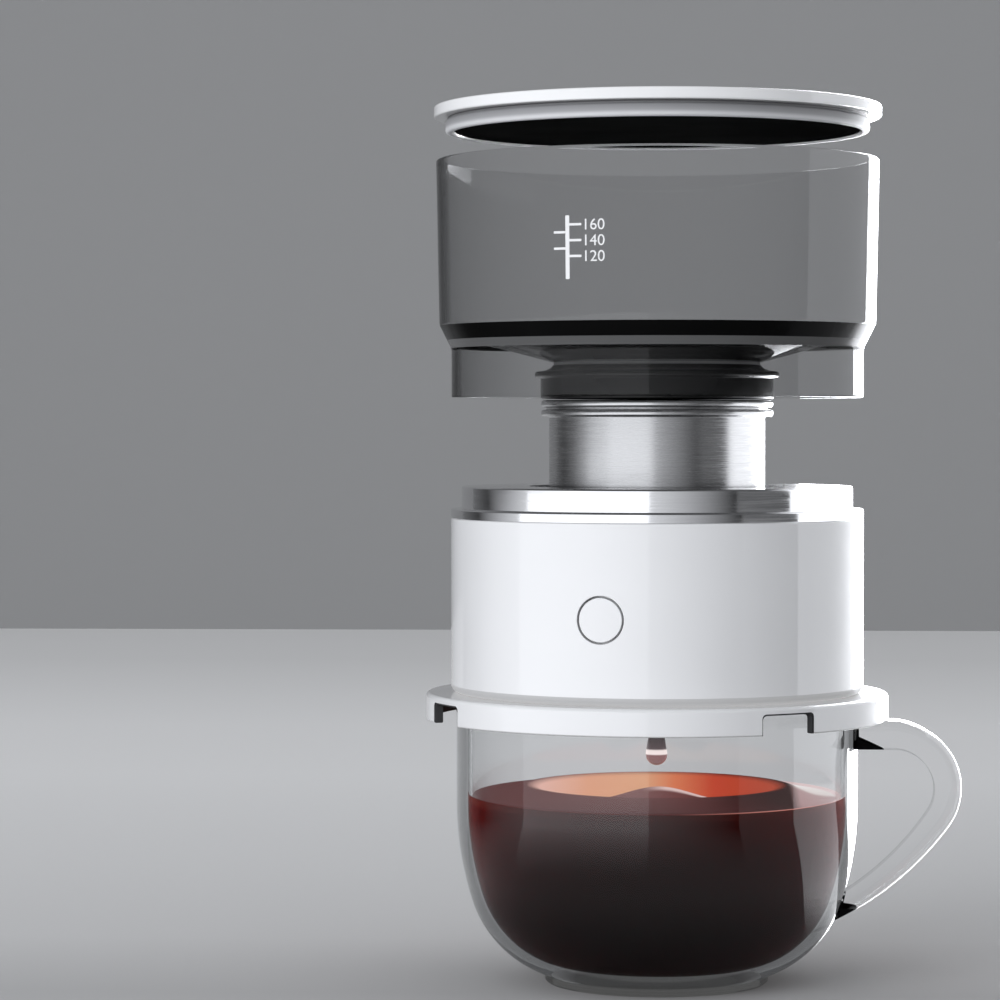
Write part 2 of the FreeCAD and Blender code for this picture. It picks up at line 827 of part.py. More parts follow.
def gear_wire(pitch, module, teeth, first_tooth):
    """Outline of an involute gear with one tooth centred on the angle first_tooth."""
    base = pitch * math.cos(math.radians(pressure_angle))
    tip = pitch + module
    bottom = pitch - dedendum * module
    flank_start = max(bottom, base)

    def involute(radius):
        roll = math.sqrt((radius / base) ** 2 - 1)
        return roll - math.atan(roll)

    def half_angle(radius):
        thinning = d.gear_backlash.number / (2 * pitch)
        return math.pi / (2 * teeth) - thinning + involute(pitch) - involute(radius)

    def spot(radius, angle):
        return Vector(radius * math.cos(angle), radius * math.sin(angle), 0)

    middle = (flank_start + tip) / 2
    edges = []
    for tooth in range(teeth):
        centre = first_tooth + 2 * math.pi * tooth / teeth
        following = centre + 2 * math.pi / teeth
        rise = [spot(radius, centre - half_angle(radius)) for radius in (flank_start, middle, tip)]
        fall = [spot(radius, centre + half_angle(radius)) for radius in (tip, middle, flank_start)]
        low_angle = half_angle(flank_start)
        valley = [spot(bottom, centre + low_angle), spot(bottom, (centre + following) / 2),
                  spot(bottom, following - low_angle)]
        if bottom < flank_start:
            edges.append(Part.LineSegment(spot(bottom, centre - low_angle), rise[0]).toShape())
        edges.append(Part.Arc(*rise).toShape())
        edges.append(Part.Arc(rise[2], spot(tip, centre), fall[0]).toShape())
        edges.append(Part.Arc(*fall).toShape())
        if bottom < flank_start:
            edges.append(Part.LineSegment(fall[2], valley[0]).toShape())
        edges.append(Part.Arc(*valley).toShape())
    return Part.Wire(edges)


def gear_solid(outline, bore, width):
    hole = Part.Wire(Part.makeCircle(bore))
    face = Part.makeFace([outline, hole], "Part::FaceMakerBullseye")
    return face.extrude(Vector(0, 0, width))


motor_direction = math.radians(d.motor_angle.number - 90)


def make_carrier():
    """Filter carrier: running sleeve, ring gear, and a seat for the filter's rim."""
    groove_z = gear_bottom + d.gear_width / 2
    groove_half = d.grip_section + d.running_gap
    groove_wall = sleeve_inner + 2 * d.grip_section - d.grip_standoff + d.running_gap
    sleeve = revolved("carrier_sleeve", [
        (sleeve_inner, gear_bottom - d.sleeve_depth),
        (sleeve_outer, gear_bottom - d.sleeve_depth),
        (sleeve_outer, gear_top),
        (rim_radius + d.carrier_seat, gear_top),
        (rim_radius + d.carrier_seat, seat_height),
        (sleeve_inner, seat_height),
        (sleeve_inner, groove_z + groove_half),
        (groove_wall, groove_z + groove_half),
        (groove_wall, groove_z - groove_half),
        (sleeve_inner, groove_z - groove_half),
    ])
    outline = gear_wire(gear_pitch.number, gear_module.number, gear_teeth, motor_direction)
    gear = shaped("carrier_gear", gear_solid(outline, sleeve_outer.number, d.gear_width.number))
    bind(gear, "Placement.Base.z", gear_bottom)
    grip = doc.addObject("Part::Torus", "grip_ring")
    bind(grip, "Radius1", sleeve_inner + d.grip_section - d.grip_standoff)
    bind(grip, "Radius2", d.grip_section)
    bind(grip, "Placement.Base.z", groove_z)
    return fused("filter_carrier", sleeve, gear), grip


def make_washer():
    return revolved("thrust_washer", [
        (socket_inner, socket_top), (socket_outer, socket_top),
        (socket_outer, gear_bottom), (socket_inner, gear_bottom),
    ])


def motor_block(name, start, length):
    half = d.motor_width / 2
    outline = rectangle(-half, -motor_circle - d.motor_depth / 2, half, d.motor_depth / 2 - motor_circle)
    return turned(padded(name, "XY_Plane", outline, start, length), d.motor_angle)


def motor_screw_places():
    reach = d.motor_width / 2 + d.bracket_sheet + d.seat_gap + d.bracket_foot / 2
    return [("left", -reach), ("right", reach)]


def make_motor():
    """Gear motor: flat can, gearbox with a shaft hole, shaft, pinion, strap and its screws."""
    half = d.motor_width / 2
    can_outline = rounded_rectangle(
        -half, -motor_circle - d.motor_depth / 2, half, d.motor_depth / 2 - motor_circle, d.can_round)
    can = turned(padded("motor_can", "XY_Plane", can_outline, floor_top, d.can_length), d.motor_angle)
    gearbox = motor_block("gearbox_block", floor_top + d.can_length, d.gearbox_length)
    bore = padded("gearbox_bore", "XY_Plane", (0, -motor_circle, d.shaft_radius + d.shaft_running),
                  gearbox_top - d.shaft_tail - d.slide_gap, d.gearbox_length)
    gearbox = cut("motor_gearbox", gearbox, turned(bore, d.motor_angle))
    pinion_bottom = gear_bottom + d.pinion_inset
    pinion_width = d.gear_width - 2 * d.pinion_inset
    shaft_bottom = gearbox_top - d.shaft_tail
    shaft = padded("motor_shaft", "XY_Plane", (0, -motor_circle, d.shaft_radius),
                   shaft_bottom, pinion_bottom + pinion_width - shaft_bottom)
    turned(shaft, d.motor_angle)
    half_pitch = math.pi / pinion_teeth
    first_tooth = motor_direction + math.pi + half_pitch
    outline = gear_wire(pinion_pitch.number, gear_module.number, pinion_teeth, first_tooth)
    pinion = shaped("drive_pinion", gear_solid(outline, d.shaft_radius.number, pinion_width.number))
    bind(pinion, "Placement.Base.x", motor_circle * sine(d.motor_angle))
    bind(pinion, "Placement.Base.y", -(motor_circle * cosine(d.motor_angle)))
    bind(pinion, "Placement.Base.z", pinion_bottom)
    inner = half + d.seat_gap
    outer = inner + d.bracket_sheet
    foot = outer + d.bracket_foot
    foot_top = floor_top + d.bracket_sheet
    bridge = gearbox_top + d.seat_gap
    strap_outline = [
        (-foot, floor_top), (-inner, floor_top), (-inner, bridge), (inner, bridge), (inner, floor_top),
        (foot, floor_top), (foot, foot_top), (outer, foot_top), (outer, bridge + d.bracket_sheet),
        (-outer, bridge + d.bracket_sheet), (-outer, foot_top), (-foot, foot_top),
    ]
    strap = padded("bracket_blank", "XZ_Plane", strap_outline,
                   motor_circle - d.bracket_width / 2, d.bracket_width)
    tools = [padded("bracket_bore", "XY_Plane", (0, -motor_circle, d.shaft_radius + 2 * d.slide_gap),
                    gearbox_top, 2 * d.bracket_sheet)]
    screws = []
    for side, x in motor_screw_places():
        clear = d.screw_radius + d.running_gap
        tools.append(padded(f"bracket_hole_{side}", "XY_Plane", (x, -motor_circle, clear),
                            floor_top, d.bracket_sheet))
        screw = padded(f"motor_screw_{side}", "XY_Plane", (x, -motor_circle, d.screw_radius),
                       floor_bottom, foot_top - floor_bottom)
        add_pad(screw, f"motor_head_{side}", "XY_Plane", (x, -motor_circle, d.screw_head_radius),
                foot_top, d.screw_head_height)
        screws.append(turned(screw, d.motor_angle))
    for tool in tools:
        turned(tool, d.motor_angle)
    bracket = cut("motor_bracket", turned(strap, d.motor_angle), *tools)
    return can, gearbox, shaft, pinion, bracket, grouped("motor_screws", screws)


def make_button():
    """Button with a catch behind the drum's wall, its switch, and the control board."""
    catch_front, catch_back, stem_end, switch_front, board_front, board_back = board_stack()
    middle = button_centre
    blank = padded("button_blank", "XZ_Plane", (0, middle, d.catch_radius), catch_back, d.catch_thick)
    add_pad(blank, "button_face", "XZ_Plane", (0, middle, d.button_radius),
            catch_front, drum_radius - catch_front)
    add_pad(blank, "button_stem", "XZ_Plane", (0, middle, d.plunger_radius), stem_end, d.stem_length)
    turned(blank, d.button_angle, True)
    face = cylinder("button_round", 0, 0, flange_top, drum_radius - d.button_recess, drum_top - flange_top)
    cap = common("button_cap", blank, face)
    tail = switch_front - d.plunger_tail
    plunger = padded("switch_plunger", "XZ_Plane", (0, middle, d.plunger_radius), tail, stem_end - tail)
    turned(plunger, d.button_angle, True)
    half = d.switch_width / 2
    block = padded("switch_block", "XZ_Plane", rectangle(-half, middle - half, half, middle + half),
                   board_front, d.switch_height)
    well_start = tail - d.button_travel - d.slide_gap
    well = padded("switch_well", "XZ_Plane", (0, middle, d.plunger_radius + d.running_gap),
                  well_start, switch_front - well_start)
    switch = cut("tact_switch", turned(block, d.button_angle, True), turned(well, d.button_angle, True))
    wide = d.board_width / 2
    tall = d.board_height / 2
    board = padded("circuit_board", "XZ_Plane", rectangle(-wide, middle - tall, wide, middle + tall),
                   board_back, d.board_thick)
    turned(board, d.button_angle, True)
    chip_half = d.chip_width / 2
    chip = padded("board_chip", "XZ_Plane", rectangle(-chip_half, middle, chip_half, middle + d.chip_width),
                  board_back - d.chip_height, d.chip_height)
    can = padded("board_capacitor", "XZ_Plane", (0, middle - d.chip_width, d.capacitor_radius),
                 board_back - d.capacitor_length, d.capacitor_length)
    parts = grouped("board_parts", [turned(chip, d.button_angle, True), turned(can, d.button_angle, True)])
    return cap, plunger, switch, board, parts


def cell_heights():
    low = floor_top + d.tray_sheet + d.cell_gap + d.cell_radius
    return [low, low + 2 * d.cell_radius + d.cell_gap]


def contact_span():
    """Half of the room between the tray's end walls."""
    room = d.cell_length + 2 * d.contact_sheet + d.contact_bump + d.contact_spring
    return room / 2


def round_bar(name, x, z, radius, length):
    """A bar along X at the cells' line."""
    bar = padded(name, "YZ_Plane", (cell_line, z, radius), x, length)
    return bar


def make_cells():
    """Two cells one above the other behind the door, their tray and contacts."""
    span = contact_span()
    body_length = d.cell_length - d.cell_nub_length
    low, high = cell_heights()
    left_end = d.contact_sheet + d.contact_spring - span
    lower = round_bar("cell_lower", left_end, low, d.cell_radius, body_length)
    add_pad(lower, "cell_lower_nub", "YZ_Plane", (cell_line, low, d.cell_nub_radius),
            left_end + body_length, d.cell_nub_length)
    left_nub = d.contact_sheet + d.contact_bump - span
    upper = round_bar("cell_upper", left_nub + d.cell_nub_length, high, d.cell_radius, body_length)
    add_pad(upper, "cell_upper_nub", "YZ_Plane", (cell_line, high, d.cell_nub_radius),
            left_nub, d.cell_nub_length)
    cells = grouped("battery_cells", [lower, upper])
    half = d.contact_width / 2
    near = cell_line - half
    far = cell_line + half
    wall = span - d.contact_sheet
    contacts = []
    left_plates = (("low", low, left_end), ("high", high, left_nub))
    for name, height, tip in left_plates:
        plate = box(f"contact_{name}", (-span, near, height - half), (-wall, far, height + half))
        bump = round_bar(f"contact_bump_{name}", -wall, height, d.contact_bump_radius, tip + wall)
        contacts.append(fused(f"contact_left_{name}", plate, bump))
    bridge = box("contact_bridge", (wall, near, low - half), (span, far, high + half))
    bumps = []
    right_tips = (("low", low, left_end + d.cell_length), ("high", high, left_nub + d.cell_length))
    for name, height, tip in right_tips:
        bumps.append(round_bar(f"bridge_bump_{name}", tip, height, d.contact_bump_radius, wall - tip))
    contacts.append(fused("contact_right", bridge, *bumps))
    plates = grouped("contact_plates", contacts)
    tray_half = span + d.tray_sheet
    front = cell_line - d.cell_radius
    back = front + d.tray_end_depth
    top = high + d.cell_radius
    floor = box("tray_floor", (-tray_half, front, floor_top), (tray_half, back, floor_top + d.tray_sheet))
    left = box("tray_left", (-tray_half, front, floor_top), (-span, back, top))
    right = box("tray_right", (span, front, floor_top), (tray_half, back, top))
    tray = fused("battery_tray", floor, left, right)
    return cells, plates, tray


def lead(points, radius):
    """A wire through chosen points: straight runs joined by tangent arcs as large as the runs allow."""
    edges = []
    start = points[0]
    radii = []
    for before, corner, after in zip(points, points[1:], points[2:]):
        run_in = before - corner
        run_out = after - corner
        turn = math.pi - run_in.getAngle(run_out)
        trim = bend_share * min(run_in.Length, run_out.Length)
        radii.append(trim / math.tan(turn / 2))
        entry = corner + run_in.normalize() * trim
        leave = corner + run_out.normalize() * trim
        towards = (run_in + run_out).normalize()
        rise = radii[-1] / math.cos(turn / 2) - radii[-1]
        edges.append(Part.LineSegment(start, entry).toShape())
        edges.append(Part.Arc(entry, corner + towards * rise, leave).toShape())
        start = leave
    edges.append(Part.LineSegment(start, points[-1]).toShape())
    path = Part.Wire(edges)
    circle = Part.Circle(points[0], points[1] - points[0], radius)
    pipe = path.makePipeShell([Part.Wire(circle.toShape())], True, False)
    expected = math.pi * radius ** 2 * path.Length
    print("lead", round(path.Length, 1), "bends", [round(item, 1) for item in radii],
          "volume ratio", round(pipe.Volume / expected, 4))
    return pipe


def make_leads():
    """Leads from the left contacts round the well to the board, and from the board to the motor."""
    board_back = board_stack()[5].number
    button_turn = math.radians(d.button_angle.number)
    motor_turn = math.radians(d.motor_angle.number)
    standoff = d.lead_standoff.number
    wide = d.board_width.number / 2

    def on_board(side, inset, height):
        return Vector(
            side * math.cos(button_turn) - (board_back - inset) * math.sin(button_turn),
            -side * math.sin(button_turn) - (board_back - inset) * math.cos(button_turn), height)

    def at_motor(side, height):
        reach = motor_circle.number - d.motor_depth.number / 2 + 2 * d.lead_radius.number
        return Vector(
            side * math.cos(motor_turn) + reach * math.sin(motor_turn),
            side * math.sin(motor_turn) - reach * math.cos(motor_turn), height)

    tray_wall = -(contact_span() + d.tray_sheet).number
    tray_y = (cell_line - d.cell_radius / 2).number
    track = (socket_outer.number + drum_inner.number) / 2 - standoff / 2
    pad = wide - d.lead_inset.number
    spacing = d.lead_spacing.number
    battery = []
    for height, step in zip(cell_heights(), (2, 1)):
        level = height.number
        end = button_centre.number - step * spacing
        points = [Vector(tray_wall, tray_y, level), Vector(tray_wall - d.lead_exit.number, tray_y, level)]
        for index, angle in enumerate(lead_angles, 1):
            turn = math.radians(angle)
            share = index / (len(lead_angles) + 1)
            slope_z = level + (end - level) * share
            points.append(Vector(-track * math.sin(turn), track * math.cos(turn), slope_z))
        points.append(on_board(-pad, standoff, end))
        points.append(on_board(-pad, 0, end))
        battery.append(lead(points, d.lead_radius.number))
    motor = []
    half = -d.motor_width.number / 2
    for step in (2, 3):
        level = button_centre.number - step * spacing
        points = [on_board(pad, 0, level), on_board(pad, standoff, level),
                  at_motor(half - standoff, level), at_motor(half, level)]
        motor.append(lead(points, d.lead_radius.number))
    battery_leads = shaped("battery_leads", Part.makeCompound(battery))
    motor_leads = shaped("motor_leads", Part.makeCompound(motor))
    return battery_leads, motor_leads


def make_filter():
    """Steel filter cup with a two-bead rim, and the strainer in its floor."""
    inner = d.filter_radius - d.filter_wall
    ledge = inner - d.mesh_ledge
    middle = (rim_bottom + filter_top) / 2
    cup = revolved("filter_cup", [
        (ledge, filter_bottom),
        (d.filter_radius, filter_bottom),
        (d.filter_radius, rim_bottom),
        (rim_radius, rim_bottom),
        (rim_radius, middle - d.rim_groove / 2),
        (rim_radius - d.rim_groove_depth, middle - d.rim_groove / 2),
        (rim_radius - d.rim_groove_depth, middle + d.rim_groove / 2),
        (rim_radius, middle + d.rim_groove / 2),
        (rim_radius, filter_top),
        (inner, filter_top),
        (inner, filter_bottom + d.filter_wall),
        (ledge, filter_bottom + d.filter_wall),
    ])
    mesh_bottom = filter_bottom + d.filter_wall
    mesh_radius = inner - d.running_gap
    outer = Part.Wire(Part.makeCircle(mesh_radius.number))
    spacing = d.mesh_pitch.number
    holes = []
    for row in range(-mesh_rings, mesh_rings + 1):
        for column in range(-mesh_rings, mesh_rings + 1):
            x = spacing * (column + row / 2)
            y = spacing * row * math.sqrt(3) / 2
            if math.hypot(x, y) < ledge.number - d.mesh_margin.number:
                holes.append(Part.Wire(Part.makeCircle(d.mesh_hole.number, Vector(x, y, 0))))
    face = Part.makeFace([outer, *holes], "Part::FaceMakerBullseye")
    mesh = shaped("filter_mesh", face.extrude(Vector(0, 0, d.mesh_sheet.number)))
    bind(mesh, "Placement.Base.z", mesh_bottom)
    ring_bottom = mesh_bottom + d.mesh_sheet
    ring = revolved("mesh_ring", [
        (mesh_radius - d.mesh_ring_width, ring_bottom),
        (mesh_radius, ring_bottom),
        (mesh_radius, ring_bottom + d.mesh_ring_height),
        (mesh_radius - d.mesh_ring_width, ring_bottom + d.mesh_ring_height),
    ])
    return cup, mesh, ring


def tank_floor_underside():
    """Heights of the conical floor's underside at the skirt and at the hole, and its slope."""
    high = skirt_bottom + d.floor_rise
    low = high - d.floor_drop
    return high, low, d.floor_drop / (skirt_inner - tank_hole)


def make_tank():
    """Water tank: skirt, shoulder, slightly flared wall, conical floor with a hole."""
    high, low, slope = tank_floor_underside()
    shoulder_bottom = skirt_bottom + d.skirt_height
    shoulder_top = shoulder_bottom + d.shoulder_height
    inner_foot = shoulder_radius - d.tank_wall
    floor_edge = high + (inner_foot - skirt_inner) * slope + d.tank_floor
    return revolved("water_tank", [
        (skirt_inner, skirt_bottom),
        (skirt_outer, skirt_bottom),
        (skirt_outer, shoulder_bottom),
        (shoulder_radius, shoulder_top),
        (tank_radius, tank_top),
        (tank_mouth, tank_top),
        (inner_foot, floor_edge),
        (tank_hole, low + d.tank_floor),
        (tank_hole, low),
        (skirt_inner, high),
    ])


def make_plug():
    """Black spool in the tank's floor: flared top, waist in the hole, lower lip, cup with a holed disc."""
    high, low, slope = tank_floor_underside()
    plug_bottom = filter_top + d.slide_gap
    waist = tank_hole - d.running_gap
    bore = waist - d.plug_waist_wall
    lip_top = low - d.plug_lip_top
    lip_bottom_z = lip_top - d.plug_lip_height
    floor_at_hole = low + d.tank_floor + d.running_gap
    flare = waist + d.plug_flare_reach
    flare_bottom = floor_at_hole + (flare - tank_hole) * slope
    cup_inner = plug_radius - d.plug_wall
    disc_top = plug_bottom + d.disc_inset + d.disc_thick
    plug = revolved("drip_plug", [
        (cup_inner, plug_bottom),
        (plug_radius, plug_bottom),
        (plug_radius, lip_bottom_z),
        (plug_lip_radius, lip_bottom_z),
        (plug_lip_radius, lip_top),
        (waist, low - d.seat_gap),
        (waist, floor_at_hole),
        (flare, flare_bottom),
        (flare, flare_bottom + d.plug_flare_height),
        (bore + d.plug_waist_wall, flare_bottom + d.plug_flare_height),
        (bore, floor_at_hole),
        (bore, lip_bottom_z),
        (cup_inner, disc_top),
    ])
    blank = cylinder("disc_blank", 0, 0, disc_top - d.disc_thick, cup_inner - d.running_gap, d.disc_thick)
    holes = []
    for index in range(disc_holes):
        turn = 360.0 * index / disc_holes
        x = d.disc_hole_circle * math.cos(math.radians(turn))
        y = d.disc_hole_circle * math.sin(math.radians(turn))
        holes.append(cylinder(
            f"drip_hole{index + 1}", x, y, disc_top - d.disc_thick, d.disc_hole, d.disc_thick))
    return plug, cut("drip_disc", blank, *holes)


def make_lid():
    """Lid: flange with a round edge, plug ring, and the black liner inside the ring."""
    top = lid_bottom + d.lid_thick
    ring_bottom = lid_bottom - d.lid_plug_height
    ring_inner = lid_plug_radius - d.lid_plug_wall
    lid = revolved("lid_cap", [
        (0, lid_bottom),
        (ring_inner, lid_bottom),
        (ring_inner, ring_bottom),
        (lid_plug_radius, ring_bottom),
        (lid_plug_radius, lid_bottom),
        (lid_radius, lid_bottom),
        (lid_radius, top),
        (0, top),
    ])
    filleted(lid, d.lid_round, [(lid_radius, lid_bottom), (lid_radius, top)])
    liner = cylinder("lid_liner", 0, 0, ring_bottom + d.liner_recess, ring_inner - d.running_gap,
                     d.lid_plug_height - d.liner_recess)
    return lid, liner


mug = make_mug()
flange = make_flange()
housing = make_housing()
door = make_door()
ring = make_ring()
deck = make_deck()
chassis = make_chassis()
base_screws = make_screws("base")
deck_screws = make_screws("deck")
carrier, grip = make_carrier()
washer = make_washer()
motor_pieces = make_motor()
button_pieces = make_button()
cell_pieces = make_cells()
lead_pieces = make_leads()
filter_pieces = make_filter()
tank = make_tank()
plug_pieces = make_plug()
lid_pieces = make_lid()
doc.recompute()

nodes = [
    mug, flange, housing, door, ring, deck, chassis, base_screws, deck_screws, carrier, grip, washer,
    *motor_pieces, *button_pieces, *cell_pieces, *lead_pieces, *filter_pieces,
    tank, *plug_pieces, *lid_pieces,
]

for item in doc.Objects:
    if {"Invalid", "Error"} & set(item.State):
        raise RuntimeError(f"{item.Name} failed: {item.State}")
for item in cuts:
    if item.Shape.Volume > item.Base.Shape.Volume - 0.001:
        raise RuntimeError(f"{item.Name} cut nothing")
for item in nodes:
    if item.Shape.isNull() or not item.Shape.isValid():
        raise RuntimeError(f"{item.Name} has no valid shape")

os.makedirs("parts", exist_ok=True)
for item in nodes:
    item.Label = item.Name
    item.Shape.exportStep(f"parts/{item.Label}.step")
lid_top = lid_bottom + d.lid_thick
print(len(nodes), "pieces, drum radius", round(drum_radius.number, 2), "lid top", round(lid_top.number, 2))
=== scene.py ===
import math

import bmesh
import bpy
from mathutils import Matrix, Vector


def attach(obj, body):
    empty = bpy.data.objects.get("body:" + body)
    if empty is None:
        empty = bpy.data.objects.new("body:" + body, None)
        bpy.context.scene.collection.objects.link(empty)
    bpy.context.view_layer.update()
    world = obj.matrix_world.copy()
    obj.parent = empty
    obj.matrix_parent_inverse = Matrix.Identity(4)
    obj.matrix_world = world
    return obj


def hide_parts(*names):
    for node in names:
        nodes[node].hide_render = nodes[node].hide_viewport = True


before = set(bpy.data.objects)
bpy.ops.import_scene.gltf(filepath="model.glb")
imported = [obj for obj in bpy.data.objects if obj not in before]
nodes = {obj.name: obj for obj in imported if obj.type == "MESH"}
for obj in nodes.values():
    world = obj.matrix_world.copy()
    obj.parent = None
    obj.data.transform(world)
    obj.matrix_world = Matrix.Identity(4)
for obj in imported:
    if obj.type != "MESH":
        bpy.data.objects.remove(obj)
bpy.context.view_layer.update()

mm = 0.001
scene = bpy.context.scene
print("frame loaded,", len(nodes), "nodes")


# outlines are drawn in the plane y = 0, radius along x, and turned round z

def lookUp(part, points):
    # a point holds numbers, or names of numbers in the part's settings
    return [[part.get(value, value) for value in point] for point in points]


def only(items, kind):
    return [item for item in items if isinstance(item, kind)]


def clean(bm):
    bmesh.ops.remove_doubles(bm, verts=bm.verts, dist=0.001 * mm)
    bmesh.ops.recalc_face_normals(bm, faces=bm.faces)


def roundOff(bm, parts, offset, segments, affect):
    bmesh.ops.bevel(
        bm, geom=parts, offset=offset, offset_type="OFFSET", segments=segments, profile=0.5,
        affect=affect, material=-1)


def startAt(bm, radius, height):
    return bm.verts.new((radius * mm, 0, height * mm))


def lineTo(bm, vert, radius, height):
    tip = bmesh.ops.extrude_vert_indiv(bm, verts=[vert])["verts"][0]
    tip.co = (radius * mm, 0, height * mm)
    return tip


def arcTo(bm, vert, centreRadius, centreHeight, degrees, steps):
    # positive degrees go from the radius axis towards the height axis
    swept = bmesh.ops.spin(
        bm, geom=[vert], cent=(centreRadius * mm, 0, centreHeight * mm), axis=(0, -1, 0),
        angle=math.radians(degrees), steps=steps, use_merge=False)
    return only(swept["geom_last"], bmesh.types.BMVert)[0]


def trace(part, *points):
    # from the first point by lines to (radius, height) or arcs round (radius, height, degrees, steps)
    bm = bmesh.new()
    start, *moves = lookUp(part, points)
    tip = startAt(bm, *start)
    for move in moves:
        tip = lineTo(bm, tip, *move) if len(move) == 2 else arcTo(bm, tip, *move)
    return bm, tip


def turnFull(bm, steps=144):
    bmesh.ops.spin(
        bm, geom=bm.verts[:] + bm.edges[:], cent=(0, 0, 0), axis=(0, 0, 1),
        angle=math.tau, steps=steps, use_merge=True)
    clean(bm)


def lathe(part, outline, closed=True):
    # outline holds (radius, height) or (radius, height, rounding)
    bm = bmesh.new()
    points = lookUp(part, outline)
    corners = [startAt(bm, *point[:2]) for point in points]
    for first, second in zip(corners, corners[1:]):
        bm.edges.new((first, second))
    if closed:
        bm.edges.new((corners[-1], corners[0]))
    for corner, (_, _, *rounding) in zip(corners, points):
        if rounding:
            roundOff(bm, [corner], rounding[0] * mm, 5, "VERTICES")
    turnFull(bm)
    return bm


def block(bm, low, high, rounding=0, segments=4):
    # a box, its edges along y rounded
    low, high = Vector(low), Vector(high)
    grown = bmesh.ops.create_cube(bm, size=1)["verts"]
    bmesh.ops.scale(bm, vec=high - low, verts=grown)
    bmesh.ops.translate(bm, vec=(low + high) / 2, verts=grown)
    if rounding:
        across = {edge for vert in grown for edge in vert.link_edges
                  if abs(edge.verts[0].co.y - edge.verts[1].co.y) > (high - low).y / 2}
        roundOff(bm, list(across), rounding, segments, "EDGES")


def linked(name, data):
    thing = bpy.data.objects.new(name, data)
    scene.collection.objects.link(thing)
    return thing


def meshObject(name, bm):
    mesh = bpy.data.meshes.new(name)
    bm.to_mesh(mesh)
    bm.free()
    return linked(name, mesh)


def meshFrom(thing):
    return bpy.data.meshes.new_from_object(thing.evaluated_get(bpy.context.evaluated_depsgraph_get()))


def boxTool(name, low, high, matrix=Matrix.Identity(4), rounding=0):
    bm = bmesh.new()
    block(bm, Vector(low) * mm, Vector(high) * mm, rounding * mm)
    bmesh.ops.transform(bm, matrix=matrix, verts=bm.verts)
    return meshObject(name, bm)


def roundTool(name, radius, length, matrix):
    bm = bmesh.new()
    bmesh.ops.create_cone(
        bm, cap_ends=True, segments=64, radius1=radius * mm, radius2=radius * mm, depth=length * mm)
    bmesh.ops.transform(bm, matrix=matrix, verts=bm.verts)
    return meshObject(name, bm)


def carve(name, base, *tools, operation="DIFFERENCE"):
    # base and tools end up in one new mesh
    for tool in tools:
        step = base.modifiers.new(tool.name, "BOOLEAN")
        step.object = tool
        step.operation = operation
        step.solver = "EXACT"
        step.material_mode = "TRANSFER"
    mesh = meshFrom(base)
    for thing in (base, *tools):
        bpy.data.objects.remove(thing)
    mesh.name = name
    return linked(name, mesh)


# rules give a face's material or share from its middle, in millimetres, and its normal

def paint(bm, rule):
    for face in bm.faces:
        face.material_index = int(rule(face.calc_center_median() / mm, face.normal))


def setShare(thing, name, rule):
    faces = thing.data.polygons
    share = thing.data.attributes.new(name, "FLOAT", "FACE")
    share.data.foreach_set("value", [float(rule(face.center / mm, face.normal)) for face in faces])


def away(middle):
    return middle.to_2d().length


def facing(middle, normal):
    # above 0 when the face looks away from the axis
    return normal.to_2d().dot(middle.to_2d())


def outward(middle, normal):
    return facing(middle, normal) > 0 and normal.z < 0.5


def dress(thing, body, slot, *materials, replaced=(), sharp=32):
    for material in materials:
        thing.data.materials.append(material)
    thing.data.shade_smooth()
    thing.data.set_sharp_from_angle(angle=math.radians(sharp))
    even = thing.modifiers.new("evenShading", "WEIGHTED_NORMAL")
    even.keep_sharp = True
    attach(thing, body)
    if replaced:
        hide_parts(*replaced)


# materials

def feed(tree, node, values):
    # a value is a number, a colour or another node's socket
    for socket, value in values.items():
        if isinstance(value, bpy.types.NodeSocket):
            tree.links.new(value, node.inputs[socket])
        else:
            node.inputs[socket].default_value = value


def newNode(tree, kind, **values):
    node = tree.nodes.new("ShaderNode" + kind)
    feed(tree, node, values)
    return node


def newMaterial(name, **values):
    material = bpy.data.materials.new(name)
    material.use_nodes = True
    tree = material.node_tree
    shader = tree.nodes["Principled BSDF"]
    feed(tree, shader, values)
    return material, tree, shader


def objectSpot(tree, stretch=(1, 1, 1)):
    spot = newNode(tree, "TexCoord").outputs["Object"]
    return newNode(tree, "Mapping", Vector=spot, Scale=stretch).outputs["Vector"]


def grain(tree, scale, detail=3.0, stretch=(1, 1, 1)):
    noise = newNode(tree, "TexNoise", Vector=objectSpot(tree, stretch), Scale=scale, Detail=detail)
    return noise.outputs["Fac"]


def ramp(tree, factor, *stops):
    # stops are (position, colour), and a plain number is a grey
    node = newNode(tree, "ValToRGB", Fac=factor)
    items = node.color_ramp.elements
    while len(items) < len(stops):
        items.new(0.5)
    for item, (position, colour) in zip(items, stops):
        item.position = position
        item.color = (*(colour if isinstance(colour, tuple) else (colour,) * 3), 1)
    return node.outputs["Color"]


def spread(tree, factor, low, high, start=0.3, stop=0.7):
    node = newNode(tree, "MapRange", Value=factor, **{
        "From Min": start, "From Max": stop, "To Min": low, "To Max": high})
    return node.outputs["Result"]


def measure(tree, axis):
    # X, Y, Z, or R for the distance from the middle axis
    if axis == "R":
        length = newNode(tree, "VectorMath", Vector=objectSpot(tree, (1, 1, 0)))
        length.operation = "LENGTH"
        return length.outputs["Value"]
    return newNode(tree, "SeparateXYZ", Vector=objectSpot(tree)).outputs[axis]


def between(tree, axis, start, stop, low=0, high=1):
    # low at start and high at stop, both in millimetres
    return spread(tree, measure(tree, axis), low, high, start * mm, stop * mm)


def combine(tree, operation, *factors):
    total = factors[0]
    for factor in factors[1:]:
        step = newNode(tree, "Math")
        step.operation = operation
        feed(tree, step, {0: total, 1: factor})
        total = step.outputs[0]
    return total


